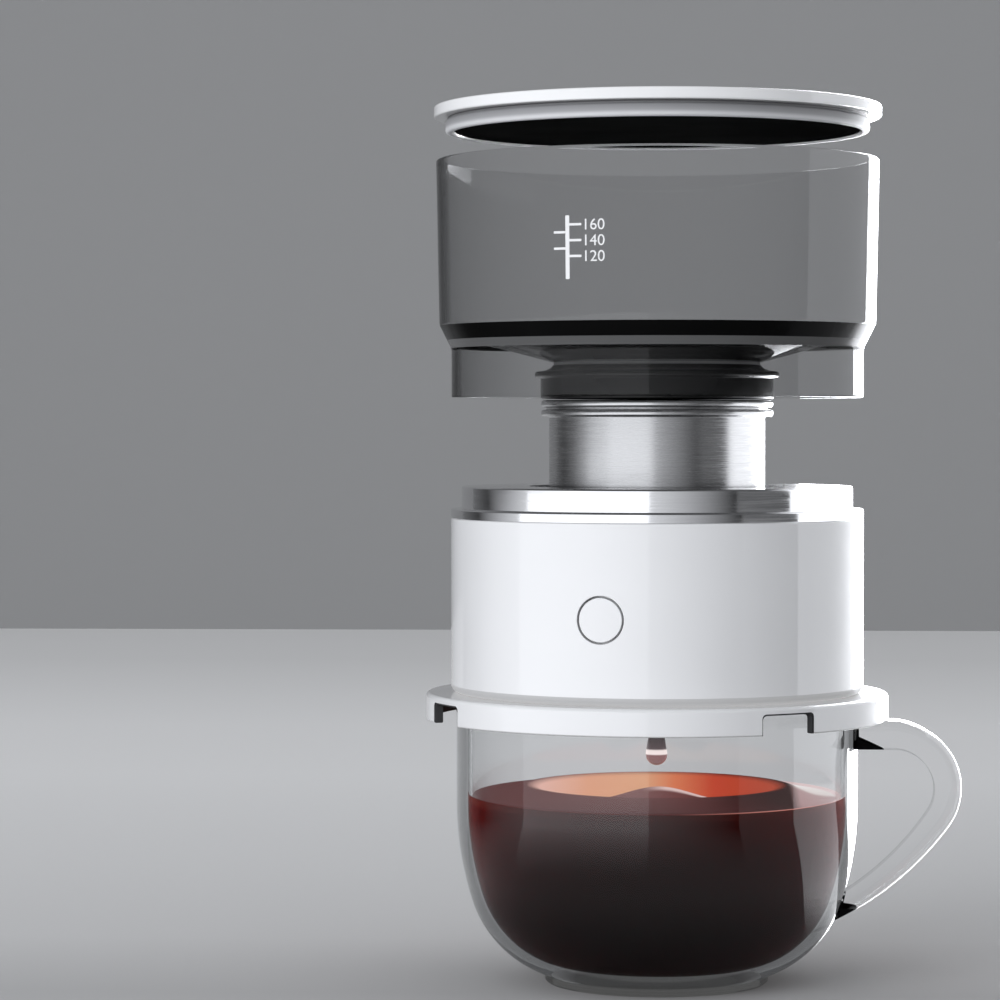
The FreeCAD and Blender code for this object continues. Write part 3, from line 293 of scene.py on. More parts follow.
def blend(tree, factor, *colours):
    # colours are two, plain or from a socket
    mix = newNode(tree, "Mix")
    mix.data_type = "RGBA"
    first, second = ((*colour, 1) if isinstance(colour, tuple) else colour for colour in colours)
    feed(tree, mix, {"Factor": factor, "A": first, "B": second})
    return mix.outputs["Result"]


def mixShaders(tree, output, factor, first, second):
    mix = newNode(tree, "MixShader")
    feed(tree, mix, {0: factor, 1: first.outputs[0], 2: second.outputs[0]})
    feed(tree, tree.nodes[output], {"Surface": mix.outputs[0]})


def faceShare(tree, name):
    share = newNode(tree, "Attribute")
    share.attribute_name = name
    return share.outputs["Fac"]


def bump(tree, height, strength, distance):
    node = newNode(tree, "Bump", Height=height, Strength=strength, Distance=distance * mm)
    return node.outputs["Normal"]


def moulded(name, dark, light, rough, fine=1400, depth=0.02, **values):
    # moulded plastic: faint clouds in the colour, fine tooth in the surface
    material, tree, shader = newMaterial(name, **values)
    clouds = grain(tree, 24)
    tooth = grain(tree, fine, 2.0)
    feed(tree, shader, {
        "Base Color": ramp(tree, clouds, (0.3, dark), (0.7, light)),
        "Roughness": spread(tree, tooth, rough - 0.04, rough + 0.05),
        "Normal": bump(tree, tooth, 0.15, depth)})
    return material


def metal(name, dark, light, rough, streak, scale, depth=0.01):
    # drawn or turned metal: streaks across the stretched axis
    material, tree, shader = newMaterial(name, Metallic=1.0)
    lines = grain(tree, scale, 4.0, streak)
    feed(tree, shader, {
        "Base Color": ramp(tree, lines, (0.3, dark), (0.7, light)),
        "Roughness": spread(tree, lines, rough - 0.05, rough + 0.06),
        "Normal": bump(tree, lines, 0.12, depth)})
    return material


def seeThrough(name, absorb, density, rough=0.02, coat=1.0, edge=(), bend=1.02):
    # the rays go straight on, the coat gives the gloss, and the depth gives the colour;
    # edge holds (facing, grey) where the outer wall is seen along its length
    material, tree, shader = newMaterial(name, Roughness=rough, IOR=bend, **{
        "Base Color": (1, 1, 1, 1), "Transmission Weight": 1.0,
        "Coat Weight": coat, "Coat Roughness": rough, "Coat IOR": 1.5})
    if edge:
        dim = ramp(tree, newNode(tree, "LayerWeight").outputs["Facing"], *edge)
        feed(tree, shader, {
            "Coat Weight": faceShare(tree, "gloss"),
            "Base Color": blend(tree, faceShare(tree, "outer"), (1, 1, 1), dim)})
    if density:
        depth = newNode(tree, "VolumeAbsorption", Color=(*absorb, 1), Density=density)
        feed(tree, tree.nodes["Material Output"], {"Volume": depth.outputs["Volume"]})
    return material


glossCoat = {"Coat Weight": 1.0, "Coat Roughness": 0.04, "Coat IOR": 1.5}
matt = {"Specular IOR Level": 0.0}
whitePlastic = moulded("whitePlastic", (0.79, 0.79, 0.795), (0.82, 0.82, 0.825), 0.42, **glossCoat)
# a lighter copy of the white plastic for the lid: painted light
litLidWhite = moulded("litLidWhite", 0.915, 0.94, 0.42, **glossCoat)
innerPlastic = moulded("innerPlastic", (0.6, 0.6, 0.59), (0.68, 0.68, 0.67), 0.5, 700, 0.04)
gearPlastic = moulded("gearPlastic", (0.68, 0.66, 0.6), (0.75, 0.73, 0.67), 0.45, 900, 0.03)
blackPlastic = moulded("blackPlastic", 0.006, 0.011, 0.2, 500, 0.003, **{"Specular IOR Level": 0.28})
blackGloss = moulded("blackGloss", 0.007, 0.016, 0.3, 300, 0.004, **matt)
# pale grey for a painted highlight round the plug's waist
plugSheen = moulded("plugSheen", 0.46, 0.5, 0.4, 500, 0.003, **matt)
blackRubber = moulded("blackRubber", 0.012, 0.025, 0.65, 1800, 0.05)
# dark grey for painted shade in and round the flange's notches and inside its lip
notchShade = moulded("notchShade", (0.05, 0.05, 0.052), (0.08, 0.08, 0.082), 0.5, **matt)
# painted shade on the flange's top: a greyer copy of the white plastic, with a faint painted glow
flangeTopShade = moulded("flangeTopShade", (0.56, 0.56, 0.565), (0.6, 0.6, 0.605), 0.5, **glossCoat,
                    **{"Emission Color": (1, 1, 1, 1), "Emission Strength": 0.1})
# near black for painted shade at the handle's joints with the bowl
rootShade = moulded("rootShade", (0.006, 0.006, 0.007), (0.012, 0.012, 0.013), 0.2, 500, 0.003, **matt)
# matt grey painted on the polished ring's hole edge in place of its reflection
ringEdge = moulded("ringEdge", (0.3, 0.3, 0.305), (0.36, 0.36, 0.365), 0.4, **matt)
partBlack = moulded("partBlack", (0.012, 0.012, 0.013), (0.022, 0.022, 0.023), 0.38)
scalePrint = moulded("scalePrint", 0.84, 0.88, 0.5)
polishedSteel = metal("polishedSteel", (0.74, 0.74, 0.75), (0.79, 0.79, 0.8), 0.11, (1, 1, 30), 90, 0.002)
spunSteel = metal("spunSteel", (0.47, 0.47, 0.475), (0.6, 0.6, 0.605), 0.24, (1, 1, 45), 130, 0.008)
motorSteel = metal("motorSteel", (0.42, 0.42, 0.43), (0.56, 0.56, 0.57), 0.32, (20, 20, 1), 110)
gearboxBrass = metal("gearboxBrass", (0.52, 0.36, 0.14), (0.68, 0.5, 0.22), 0.3, (1, 1, 12), 140)
contactMetal = metal("contactMetal", (0.58, 0.57, 0.54), (0.7, 0.69, 0.66), 0.26, (1, 10, 10), 150)
screwSteel = metal("screwSteel", (0.46, 0.46, 0.47), (0.6, 0.6, 0.61), 0.28, (1, 1, 20), 260)
smokePlastic = seeThrough(
    "smokePlastic", (0.1, 0.105, 0.11), 84, edge=((0.66, 1.0), (0.71, 0.45), (1.0, 0.4)))
clearGlass = seeThrough(
    "clearGlass", (0.74, 0.76, 0.77), 28, edge=((0.6, 1.0), (0.65, 0.4), (1.0, 0.32)))
handleGlass = seeThrough(
    "handleGlass", (1, 1, 1), 0, edge=((0.75, 1.0), (0.93, 0.6), (1.0, 0.5)), bend=1.0)


def paintedBandMaterial(name, dark, light):
    # seen from outside, an opaque grey painted in for how the smoke wall looks there (painted shade on the
    # band, painted light on the step under it); clear from within the wall
    material = moulded(name, dark, light, 0.2, 300, 0.004, **{"Specular IOR Level": 0.02})
    tree = material.node_tree
    within = newNode(tree, "NewGeometry").outputs["Backfacing"]
    mixShaders(tree, "Material Output", within, tree.nodes["Principled BSDF"],
               newNode(tree, "BsdfTransparent"))
    return material


def footShadeMaterial():
    # painted shade: soft grey on the drum's rounded foot, with a painted glow that lifts it towards the
    # crease over the flange
    material = moulded("drumFootShade", (0.29, 0.29, 0.295), (0.32, 0.32, 0.325), 0.5)
    tree = material.node_tree
    up = between(tree, "Z", drum["foot"], drum["foot"] + drum["footRound"])
    feed(tree, tree.nodes["Principled BSDF"], {
        "Emission Color": ramp(tree, up, (0.0, 0.33), (0.5, 0.2)), "Emission Strength": 1.0})
    return material


def ringShadeMaterial():
    # painted shade on the lid's plug ring under the flange: dark grey at its top, paler towards its lower
    # edge
    material, tree, shader = newMaterial("lidRingShade", Roughness=0.5)
    up = between(tree, "Z", lid["ringFoot"], lid["under"])
    shade = ramp(tree, up, (0.0, (0.8, 0.8, 0.81)), (0.22, (0.62, 0.62, 0.63)), (0.4, (0.36, 0.36, 0.37)),
                 (0.9, (0.2, 0.2, 0.205)), (1.0, 0.02))
    feed(tree, shader, {"Base Color": shade, "Normal": bump(tree, grain(tree, 1500), 0.2, 0.02)})
    return material


def boardMaterial():
    # green lacquer over paler copper runs
    material, tree, shader = newMaterial("boardLacquer", Roughness=0.35)
    runs = newNode(tree, "TexBrick", Vector=objectSpot(tree), Scale=420, Color1=(0.012, 0.12, 0.05, 1),
                   Color2=(0.014, 0.14, 0.06, 1), Mortar=(0.05, 0.26, 0.12, 1), **{"Mortar Size": 0.06})
    feed(tree, shader, {
        "Base Color": runs.outputs["Color"], "Normal": bump(tree, runs.outputs["Fac"], 0.3, 0.05)})
    return material


innards = {"cellEnds": (-23, 23), "leadSplit": (78.4, 78.6)}


def cellMaterial():
    # wrap in two plain colours along the cell
    material, tree, shader = newMaterial("cellWrap", Roughness=0.28, Metallic=0.35)
    black, copper = (0.02, 0.03, 0.03), (0.42, 0.2, 0.09)
    shade = ramp(tree, between(tree, "X", *innards["cellEnds"]),
                 (0.0, black), (0.68, black), (0.69, copper), (1.0, copper))
    feed(tree, shader, {"Base Color": shade, "Normal": bump(tree, grain(tree, 500), 0.1, 0.02)})
    return material


def leadMaterial():
    # red lead above, black lead below
    material, tree, shader = newMaterial("leadWrap", Roughness=0.45)
    shade = ramp(tree, between(tree, "Z", *innards["leadSplit"]), (0.4, 0.015), (0.6, (0.35, 0.02, 0.02)))
    feed(tree, shader, {"Base Color": shade, "Normal": bump(tree, grain(tree, 900), 0.1, 0.02)})
    return material


nodeFinish = {
    "battery_door": whitePlastic, "button_cap": whitePlastic,
    "deck_plate": innerPlastic, "chassis": innerPlastic, "battery_tray": innerPlastic,
    "filter_carrier": gearPlastic, "thrust_washer": gearPlastic, "drive_pinion": gearPlastic,
    "grip_ring": blackRubber, "drip_disc": blackPlastic,
    "switch_plunger": partBlack, "tact_switch": partBlack, "board_parts": partBlack,
    "motor_can": motorSteel, "motor_shaft": motorSteel, "motor_bracket": motorSteel,
    "motor_gearbox": gearboxBrass, "contact_plates": contactMetal,
    "base_screws": screwSteel, "deck_screws": screwSteel, "motor_screws": screwSteel,
    "filter_mesh": spunSteel, "mesh_ring": spunSteel,
    "circuit_board": boardMaterial(), "battery_cells": cellMaterial(),
    "battery_leads": leadMaterial(), "motor_leads": leadMaterial(),
}
for node, material in nodeFinish.items():
    nodes[node].data.materials.clear()
    nodes[node].data.materials.append(material)
print("node materials set:", len(nodeFinish))


# lid

lid = {
    "edge": 49.5, "top": 193.9, "under": 191.4, "edgeRound": 0.45, "inside": 191.35,
    "neck": 46.4, "grooveTop": 190.9, "grooveFoot": 190.6,
    "ring": 46.9, "ringInner": 44.9, "ringFoot": 188.0, "lipRound": 0.75, "ringShadeInner": 45.2,
    "linerEdge": 44.8, "linerTop": 191.2, "linerFoot": 188.4, "linerLip": 43.2,
    "dishEdge": 42.6, "dish": 188.9,
}


def makeLid():
    cap = lathe(lid, [
        (0, "top"), ("edge", "top", "edgeRound"), ("edge", "under", "edgeRound"),
        ("neck", "under"), ("neck", "grooveTop"), ("ring", "grooveFoot", 0.2),
        ("ring", "ringFoot", "lipRound"), ("ringInner", "ringFoot", "lipRound"),
        ("ringInner", "inside"), (0, "inside"),
    ], closed=False)
    # the plug ring's outer faces take the painted shade
    paint(cap, lambda middle, normal: middle.z < lid["inside"] and away(middle) > lid["ringShadeInner"])
    dress(meshObject("lidCap", cap), "lid", "white_plastic", litLidWhite, ringShadeMaterial(), replaced=("lid_cap",))
    liner = lathe(lid, [
        (0, "linerTop"), ("linerEdge", "linerTop"), ("linerEdge", "linerFoot", 0.3),
        ("linerLip", "linerFoot", 0.4), ("dishEdge", "dish", 0.4), (0, "dish"),
    ], closed=False)
    dress(meshObject("lidLiner", liner), "lid", "black_gloss", blackGloss, replaced=("lid_liner",))


makeLid()
print("lid done")


# water tank with its level scale

tank = {
    "skirtInner": 43.6, "skirtOuter": 45.6, "skirtFoot": 129.6, "shoulderFoot": 140.4,
    "shoulder": 48.3, "shoulderTop": 145.8, "rim": 49.0, "rimInner": 47.2, "top": 182.1,
    "floorEdge": 46.5, "floorEdgeTop": 145.37, "hole": 22.8, "holeTop": 139.1, "holeFoot": 137.3,
    "floorFoot": 142.8, "bandFoot": 142.3, "bandFootEdge": 46.55, "bandTop": 145.5, "bandTopEdge": 48.15,
    "bandInner": 46.45, "gloss": 0.45, "innerGloss": 0.12, "footGloss": 0.06,
}
levelScale = {
    "turn": -22.6, "bar": 0.9, "barFoot": 154.1, "barTop": 167.4, "tick": 2.7, "tickWidth": 0.5,
    "rightTicks": (165.5, 162.2, 158.9), "leftTicks": (163.9, 160.5), "lap": 0.1, "rounding": 0.12,
    "numbers": ("160", "140", "120"), "numberHeight": 2.3, "numberWidth": 1.02, "numberGap": 0.8,
    "lift": 0.06, "thick": 0.06,
}


def tankGloss(middle, normal):
    if middle.z < tank["skirtFoot"] + 1 and abs(normal.z) > 0.1:
        return tank["footGloss"]
    if middle.z < tank["shoulderTop"] and abs(normal.z) > 0.5:
        return 0
    underBand = tank["shoulderFoot"] - 1 < middle.z < tank["bandFoot"]
    return tank["innerGloss"] if underBand or facing(middle, normal) < 0 else tank["gloss"]


def tankPaintedShading(middle, normal):
    # 1 for painted shade on the shoulder band, 2 for painted light on the paler step under it
    if tank["bandFoot"] < middle.z < tank["bandTop"] and away(middle) > tank["bandInner"]:
        return 1
    onStep = tank["shoulderFoot"] < middle.z < tank["bandFoot"] and away(middle) > tank["skirtOuter"]
    return 2 if onStep else 0


def makeTank():
    shell = lathe(tank, [
        ("skirtInner", "skirtFoot", 0.4), ("skirtOuter", "skirtFoot", 0.4),
        ("skirtOuter", "shoulderFoot", 0.5), ("bandFootEdge", "bandFoot"),
        ("bandTopEdge", "bandTop"), ("shoulder", "shoulderTop", 0.2), ("rim", "top", 0.5),
        ("rimInner", "top", 0.5), ("floorEdge", "floorEdgeTop", 0.6),
        ("hole", "holeTop", 0.3), ("hole", "holeFoot", 0.3),
        ("skirtInner", "floorFoot", 0.6),
    ])
    paint(shell, tankPaintedShading)
    piece = meshObject("tankShell", shell)
    setShare(piece, "gloss", tankGloss)
    setShare(piece, "outer", outward)
    dress(piece, "tank", "smoke_plastic", smokePlastic, paintedBandMaterial("smokeBandShade", 0.002, 0.004),
          paintedBandMaterial("smokeStepLight", 0.1, 0.115), replaced=("water_tank",), sharp=40)


def wallRadius(height):
    share = (height - tank["shoulderTop"]) / (tank["top"] - tank["shoulderTop"])
    return tank["shoulder"] + share * (tank["rim"] - tank["shoulder"])


def wrapOnTank(bm):
    # flat x becomes the way round the wall, y the way out of it, all in millimetres before this
    for vert in bm.verts:
        along, out, height = vert.co
        radius = wallRadius(height) + levelScale["lift"] + out
        turn = math.radians(levelScale["turn"]) + along / wallRadius(height)
        vert.co = Vector((radius * math.sin(turn), -radius * math.cos(turn), height)) * mm
    bmesh.ops.recalc_face_normals(bm, faces=bm.faces)


def numberMesh(text, left, middle):
    curve = bpy.data.curves.new("number" + text, "FONT")
    curve.body = text
    curve.extrude = 0.02
    letters = linked("number" + text, curve)
    mesh = meshFrom(letters)
    bpy.data.objects.remove(letters)
    bm = bmesh.new()
    bm.from_mesh(mesh)
    bpy.data.meshes.remove(mesh)
    lows, highs = ([most(vert.co[axis] for vert in bm.verts) for axis in range(3)] for most in (min, max))
    size = levelScale["numberHeight"] / (highs[1] - lows[1])
    thick = levelScale["thick"] / (highs[2] - lows[2])
    bmesh.ops.translate(bm, vec=[-low for low in lows], verts=bm.verts)
    bmesh.ops.scale(bm, vec=(size * levelScale["numberWidth"], size, thick), verts=bm.verts)
    stand = Matrix(((1, 0, 0), (0, 0, 1), (0, 1, 0)))
    bmesh.ops.transform(bm, matrix=stand.to_4x4(), verts=bm.verts)
    bmesh.ops.translate(bm, vec=(left, 0, middle - levelScale["numberHeight"] / 2), verts=bm.verts)
    bmesh.ops.remove_doubles(bm, verts=bm.verts, dist=0.0005)
    bmesh.ops.recalc_face_normals(bm, faces=bm.faces)
    return bm


def makeScale():
    bm = bmesh.new()
    half = levelScale["bar"] / 2
    reach = half + levelScale["tick"]
    thin = levelScale["tickWidth"] / 2
    lap = half - levelScale["lap"]
    bars = [(-half, half, levelScale["barFoot"], levelScale["barTop"])]
    bars += [(lap, reach, height - thin, height + thin) for height in levelScale["rightTicks"]]
    bars += [(-reach, -lap, height - thin, height + thin) for height in levelScale["leftTicks"]]
    for left, right, foot, top in bars:
        block(bm, (left, 0, foot), (right, levelScale["thick"], top), levelScale["rounding"], 3)
    wrapOnTank(bm)
    dress(meshObject("levelScale", bm), "tank", "white_plastic", scalePrint)
    for text, height in zip(levelScale["numbers"], levelScale["rightTicks"]):
        number = numberMesh(text, reach + levelScale["numberGap"], height)
        wrapOnTank(number)
        dress(meshObject("level" + text, number), "tank", "white_plastic", scalePrint)


makeTank()
makeScale()
print("tank and scale done")


# drip plug in the tank's floor

plug = {
    "inner": 23.4, "outer": 25.8, "foot": 129.3, "lip": 27.1, "lipFoot": 134.0, "lipTop": 135.3,
    "slope": 24.9, "slopeTop": 135.528, "neck": 23.36, "neckTop": 136.25,
    "waist": 22.7, "waistFoot": 137.2, "waistTop": 139.2, "flare": 25.9, "flareFoot": 140.02,
    "flareTop": 140.92, "bore": 20.8, "discTop": 132.0,
    "sheenInner": 22.6, "sheenFoot": 136.8, "sheenTop": 137.9,
}


def plugPaintedHighlight(middle, normal):
    # the waist faces that carry the painted highlight
    return plug["sheenFoot"] < middle.z < plug["sheenTop"] and away(middle) > plug["sheenInner"]


def makePlug():
    body = lathe(plug, [
        ("inner", "foot", 0.3), ("outer", "foot", 0.35), ("outer", "lipFoot", 0.3),
        ("lip", "lipFoot", 0.55), ("lip", "lipTop", 0.55), ("slope", "slopeTop", 0.8),
        ("neck", "neckTop", 0.6), ("waist", "waistFoot", 0.5), ("waist", "sheenTop"),
        ("waist", "waistTop", 0.4), ("flare", "flareFoot", 0.4), ("flare", "flareTop", 0.4),
        ("waist", "flareTop", 0.6), ("bore", "waistTop", 0.5), ("bore", "lipFoot", 0.4),
        ("inner", "discTop", 0.3),
    ])
    paint(body, plugPaintedHighlight)
    dress(meshObject("dripPlug", body), "tank", "black_plastic", blackPlastic, plugSheen,
          replaced=("drip_plug",), sharp=40)


makePlug()
print("drip plug done")


# filter cup

cup = {
    "outer": 23.9, "inner": 23.1, "foot": 98.6, "floor": 99.4, "ledge": 19.1, "rim": 25.7, "bead": 0.6,
    "rimFoot": 125.4, "neck": 24.5, "grooveFoot": 126.95, "grooveTop": 127.45, "top": 129.0,
}


def makeCup():
    body = lathe(cup, [
        ("ledge", "foot", 0.2), ("outer", "foot", 0.7), ("outer", "rimFoot", 0.25),
        ("rim", "rimFoot", "bead"), ("rim", "grooveFoot", "bead"),
        ("neck", "grooveFoot", 0.2), ("neck", "grooveTop", 0.2),
        ("rim", "grooveTop", "bead"), ("rim", "top", "bead"), ("inner", "top", 0.5),
        ("inner", "floor", 0.4), ("ledge", "floor", 0.2),
    ])
    dress(meshObject("filterCup", body), "filter", "spun_steel", spunSteel, replaced=("filter_cup",))


makeCup()
print("filter cup done")


# drum, steel ring, flange

drum = {
    "outer": 45.7, "inner": 43.5, "foot": 64.4, "top": 102.9, "footRound": 1.8, "topRound": 0.3,
    "baseInner": 41.1, "baseTop": 66.4, "footSlope": -0.12,
    "buttonTurn": -15.1, "buttonHeight": 82.6, "buttonHole": 5.15, "buttonDepth": 12,
    "doorCore": 44.25, "doorHalf": 24.45, "doorFoot": 68.6, "doorTop": 92.0, "doorLap": 1.2,
    "doorDepth": 32.75, "doorReach": 60,
}
steelRing = {
    "outer": 45.7, "outerInner": 44.5, "collar": 43.3, "collarInner": 42.1, "hole": 27.9, "holeEdge": 28.35,
    "foot": 102.9, "stepUnder": 103.8, "step": 105.0, "under": 108.8, "top": 110.0,
}
flange = {
    "edge": 51.19, "lipInner": 49.19, "hole": 4.7, "seat": 44.6, "foot": 62.4, "top": 64.4, "lipFoot": 58.5,
    "edgeRound": 0.85, "shadeEnd": 49.39, "shadeTop": 62.5, "lipFootTop": 59.0,
    "notchWidth": 12.5, "notchHeight": 4.2, "notchTurns": (33.0, -64.0, 116.0, -147.0), "notchInner": 41.3,
    "notchOuter": 53.19, "notchRound": 1.0, "notchEdge": 0.35, "stepInner": 50.84, "stepOuter": 54.19,
    "screwCircle": 38.0, "screwTurns": (30.0, 150.0, 210.0, 330.0), "screwHole": 1.4, "screwDepth": 9,
    "screwSink": 2.5, "sinkDepth": 2.8,
}


def turned(degrees):
    return Matrix.Rotation(math.radians(degrees), 4, "Z")


def makeDrum():
    shell = lathe(drum, [
        ("baseInner", "foot"), ("outer", "foot", "footRound"), ("outer", "top", "topRound"),
        ("inner", "top"), ("inner", "baseTop"), ("baseInner", "baseTop"),
    ])
    # the rounded foot takes the painted shade
    paint(shell, lambda middle, normal: normal.z < drum["footSlope"] and middle.z < drum["baseTop"])
    place = Matrix.Translation((0, -drum["outer"] * mm, drum["buttonHeight"] * mm))
    place = turned(drum["buttonTurn"]) @ place @ Matrix.Rotation(math.pi / 2, 4, "X")
    hole = roundTool("buttonHole", drum["buttonHole"], drum["buttonDepth"], place)
    half, lap, depth, reach = (drum["door" + key] for key in ("Half", "Lap", "Depth", "Reach"))
    foot, top = drum["doorFoot"], drum["doorTop"]
    opening = boxTool("doorOpening", (lap - half, depth, foot + lap), (half - lap, reach, top - lap))
    recess = boxTool("doorRecess", (-half, depth, foot), (half, reach, top))
    core = roundTool("doorCore", drum["doorCore"], reach, Matrix.Translation((0, 0, (foot + top) / 2 * mm)))
    pocket = carve("doorPocket", recess, core)
    blank = meshObject("drumBlank", shell)
    for thing in (blank, hole, opening, pocket):
        thing.data.materials.append(whitePlastic)
    blank.data.materials.append(footShadeMaterial())
    body = carve("drumShell", blank, hole, opening, pocket)
    dress(body, "base", "white_plastic", replaced=("housing_shell",), sharp=30)


def makeRing():
    body = lathe(steelRing, [
        ("outerInner", "foot"), ("outer", "foot", 0.15), ("outer", "step", 0.3),
        ("collar", "step", 0.15), ("collar", "top", 0.4), ("hole", "top", 0.4),
        ("hole", "under", 0.2), ("collarInner", "under"), ("collarInner", "stepUnder"),
        ("outerInner", "stepUnder"),
    ])
    # the hole's edge takes the painted grey in place of a reflection
    paint(body, lambda middle, normal: away(middle) < steelRing["holeEdge"])
    dress(meshObject("steelRing", body), "base", "polished_steel", polishedSteel, ringEdge,
          replaced=("top_ring",))


def notchTools(name, turn):
    # the notch itself, and a shallow step round it on the outside, both dark with painted shade
    half, edge = flange["notchWidth"] / 2, flange["notchEdge"]
    outer, inner = -flange["notchOuter"], -flange["notchInner"]
    foot, top = (flange["lipFoot"] + sign * flange["notchHeight"] for sign in (-1, 1))
    notch = boxTool(name, (-half, outer, foot), (half, inner, top), turn, flange["notchRound"])
    wide = boxTool(name + "Wide", (-half - edge, outer, foot), (half + edge, inner, top + edge), turn,
                   flange["notchRound"])
    skin = meshObject(name + "Skin", lathe(flange, [
        ("stepInner", foot - 1), ("stepOuter", foot - 1), ("stepOuter", top + 2), ("stepInner", top + 2)]))
    for tool in (notch, wide, skin):
        tool.data.materials.append(notchShade)
    return notch, carve(name + "Step", wide, skin, operation="INTERSECT")


def flangePaintedShade(middle, normal):
    # 1 for painted shade on the top, 2 for painted shade under the plate and inside the lip, 3 for painted
    # shade on the lip's lower edge
    if normal.z > 0.9:
        return 1
    if middle.z < flange["shadeTop"] and flange["seat"] < away(middle) < flange["shadeEnd"]:
        return 2
    return 3 if middle.z < flange["lipFootTop"] and normal.z < -0.2 else 0


def makeFlange():
    plate = lathe(flange, [
        ("hole", "foot"), ("seat", "foot"), ("lipInner", "foot", 0.3),
        ("lipInner", "lipFoot", 0.3), ("edge", "lipFoot", 0.4),
        ("edge", "top", "edgeRound"), ("hole", "top"),
    ])
    paint(plate, flangePaintedShade)
    tools = []
    for index, degrees in enumerate(flange["notchTurns"]):
        tools += notchTools(f"notch{index}", turned(degrees))
    for index, degrees in enumerate(flange["screwTurns"]):
        place = turned(degrees) @ Matrix.Translation((flange["screwCircle"] * mm, 0, flange["foot"] * mm))
        tools.append(roundTool(f"screwHole{index}", flange["screwHole"], flange["screwDepth"], place))
        tools.append(roundTool(f"screwSink{index}", flange["screwSink"], flange["sinkDepth"], place))
    blank = meshObject("flangeBlank", plate)
    for material in (whitePlastic, flangeTopShade, notchShade, innerPlastic):
        blank.data.materials.append(material)
    body = carve("cupFlange", blank, *tools)
    dress(body, "base", "white_plastic", replaced=("cup_flange",), sharp=30)


makeDrum()
makeRing()
makeFlange()
print("drum, ring and flange done")


# glass mug

mug = {
    "footEdge": 24.4, "footRound": 0.4, "foot": 24.8, "footHeight": 1.8, "footTurn": 54.1,
    "bowlRadius": 17.058, "bowlHeight": 25.781, "bowlTurn": 72.0, "floorTurn": -72.0,
    "sideCentre": -26.5, "sideHeight": 39.934, "sideTurn": 18.0, "innerTurn": -18.0,
    "radius": 44.5, "inner": 41.0, "height": 62.3, "innerFloor": 4.081,
    "lipFoot": 60.9, "lipOuter": 43.1, "lipInner": 42.4,
    "rootFoot": 52.4, "rootTop": 57.6, "rootSide": 42.0, "footGloss": 0.25, "glossEnd": 24.0,
}
handle = {
    "root": 42.75, "height": 54.3, "width": 10.0, "thick": 6.6, "rounding": 3.0,
    "bendAt": 53.09, "bendHeight": 43.3, "bendTurn": 125.0, "bendSteps": 22, "bendLimit": 125.5,
    "sweepAt": 3.13, "sweepHeight": 78.29, "sweepTurn": 32.0, "sweepSteps": 40, "sweepLimit": 250.0,
    "rise": 0.7, "riseEnd": 60.0, "bendSlim": 0.85, "rootSlim": 0.66, "slimTurn": 23.4,
    "glossFacing": 0.25, "capFacing": -0.9,
    # painted shade where the handle's joints with the bowl look dark through the glass, each on one side of
    # a line in x and z
    "topRoot": 44.6, "topEnd": 51.3, "topShade": ((44.6, 54.2), (50.8, 51.5)), "wallAt": 70.8,
    "lowShade": ((40.0, 16.9), (46.0, 16.4)), "wallShade": ((42.1, 20.9), (40.9, 16.9)),
    "shadeSide": 3.0, "shadeHeight": 8.0,
}


def mugBody():
    bm, _ = trace(
        mug, (0, 0),
        ("footEdge", 0), ("foot", "footRound"), ("foot", "footHeight"),
        ("bowlRadius", "bowlHeight", "footTurn", 18),
        ("sideCentre", "sideHeight", "sideTurn", 12), ("radius", "rootFoot"),
        ("radius", "rootTop"), ("radius", "lipFoot"), ("lipOuter", "lipFoot", 90, 6),
        ("lipInner", "height"), ("lipInner", "lipFoot", 90, 6), ("inner", "sideHeight"),
        ("sideCentre", "sideHeight", "innerTurn", 12),
        ("bowlRadius", "bowlHeight", "floorTurn", 20), (0, "innerFloor"))
    turnFull(bm)
    return meshObject("mugGlass", bm)


def mugGloss(middle, normal):
    if middle.x > mug["rootSide"] and mug["rootFoot"] < middle.z < mug["rootTop"]:
        return 0
    if middle.z < coffee["level"] and (facing(middle, normal) < 0 or normal.z > 0.5):
        return 0
    return min(1, max(mug["footGloss"], middle.z / mug["glossEnd"]))


def handleGloss(middle, normal):
    out = Vector((middle.x - handle["bendAt"], 0, middle.z - handle["bendHeight"])).normalized()
    return out.dot(normal) > handle["glossFacing"] and normal.x > handle["capFacing"]


def handleRise(x):
    share = (handle["riseEnd"] - x) / (handle["riseEnd"] - handle["bendAt"])
    return handle["rise"] * min(1, max(0, share))


def shapeHandle(bm):
    # lift the upper root a little, and slim the strap from the bend down to the lower root
    half = handle["thick"] / 2
    bend = Vector((handle["bendAt"], handle["bendHeight"]))
    sweep = Vector((handle["sweepAt"], handle["sweepHeight"]))
    bendRadius = handle["height"] - handle["bendHeight"]
    endTurn = math.radians(handle["bendTurn"])
    end = bend + bendRadius * Vector((math.sin(endTurn), math.cos(endTurn)))
    sweepRadius = (end - sweep).length
    startTurn = math.atan2(*(end - sweep).yx)
    for vert in bm.verts:
        spot = vert.co.xz / mm
        turn = math.degrees(math.atan2(*(spot - bend))) % 360
        if turn <= handle["bendLimit"]:
            slim = 1 - (1 - handle["bendSlim"]) * turn / handle["bendTurn"]
            out = (spot - bend).length - bendRadius - half
            spot = bend + (bendRadius + half + slim * out) * (spot - bend).normalized()
        elif turn < handle["sweepLimit"]:
            share = math.degrees(startTurn - math.atan2(*(spot - sweep).yx)) / handle["slimTurn"]
            slim = handle["bendSlim"] + (handle["rootSlim"] - handle["bendSlim"]) * share
            fixed = sweepRadius + half * (1 - share)
            reach = fixed + slim * ((spot - sweep).length - fixed)
            spot = sweep + reach * (spot - sweep).normalized()
        if spot.y > handle["bendHeight"]:
            spot.y += handleRise(spot.x)
        vert.co.xz = spot * mm


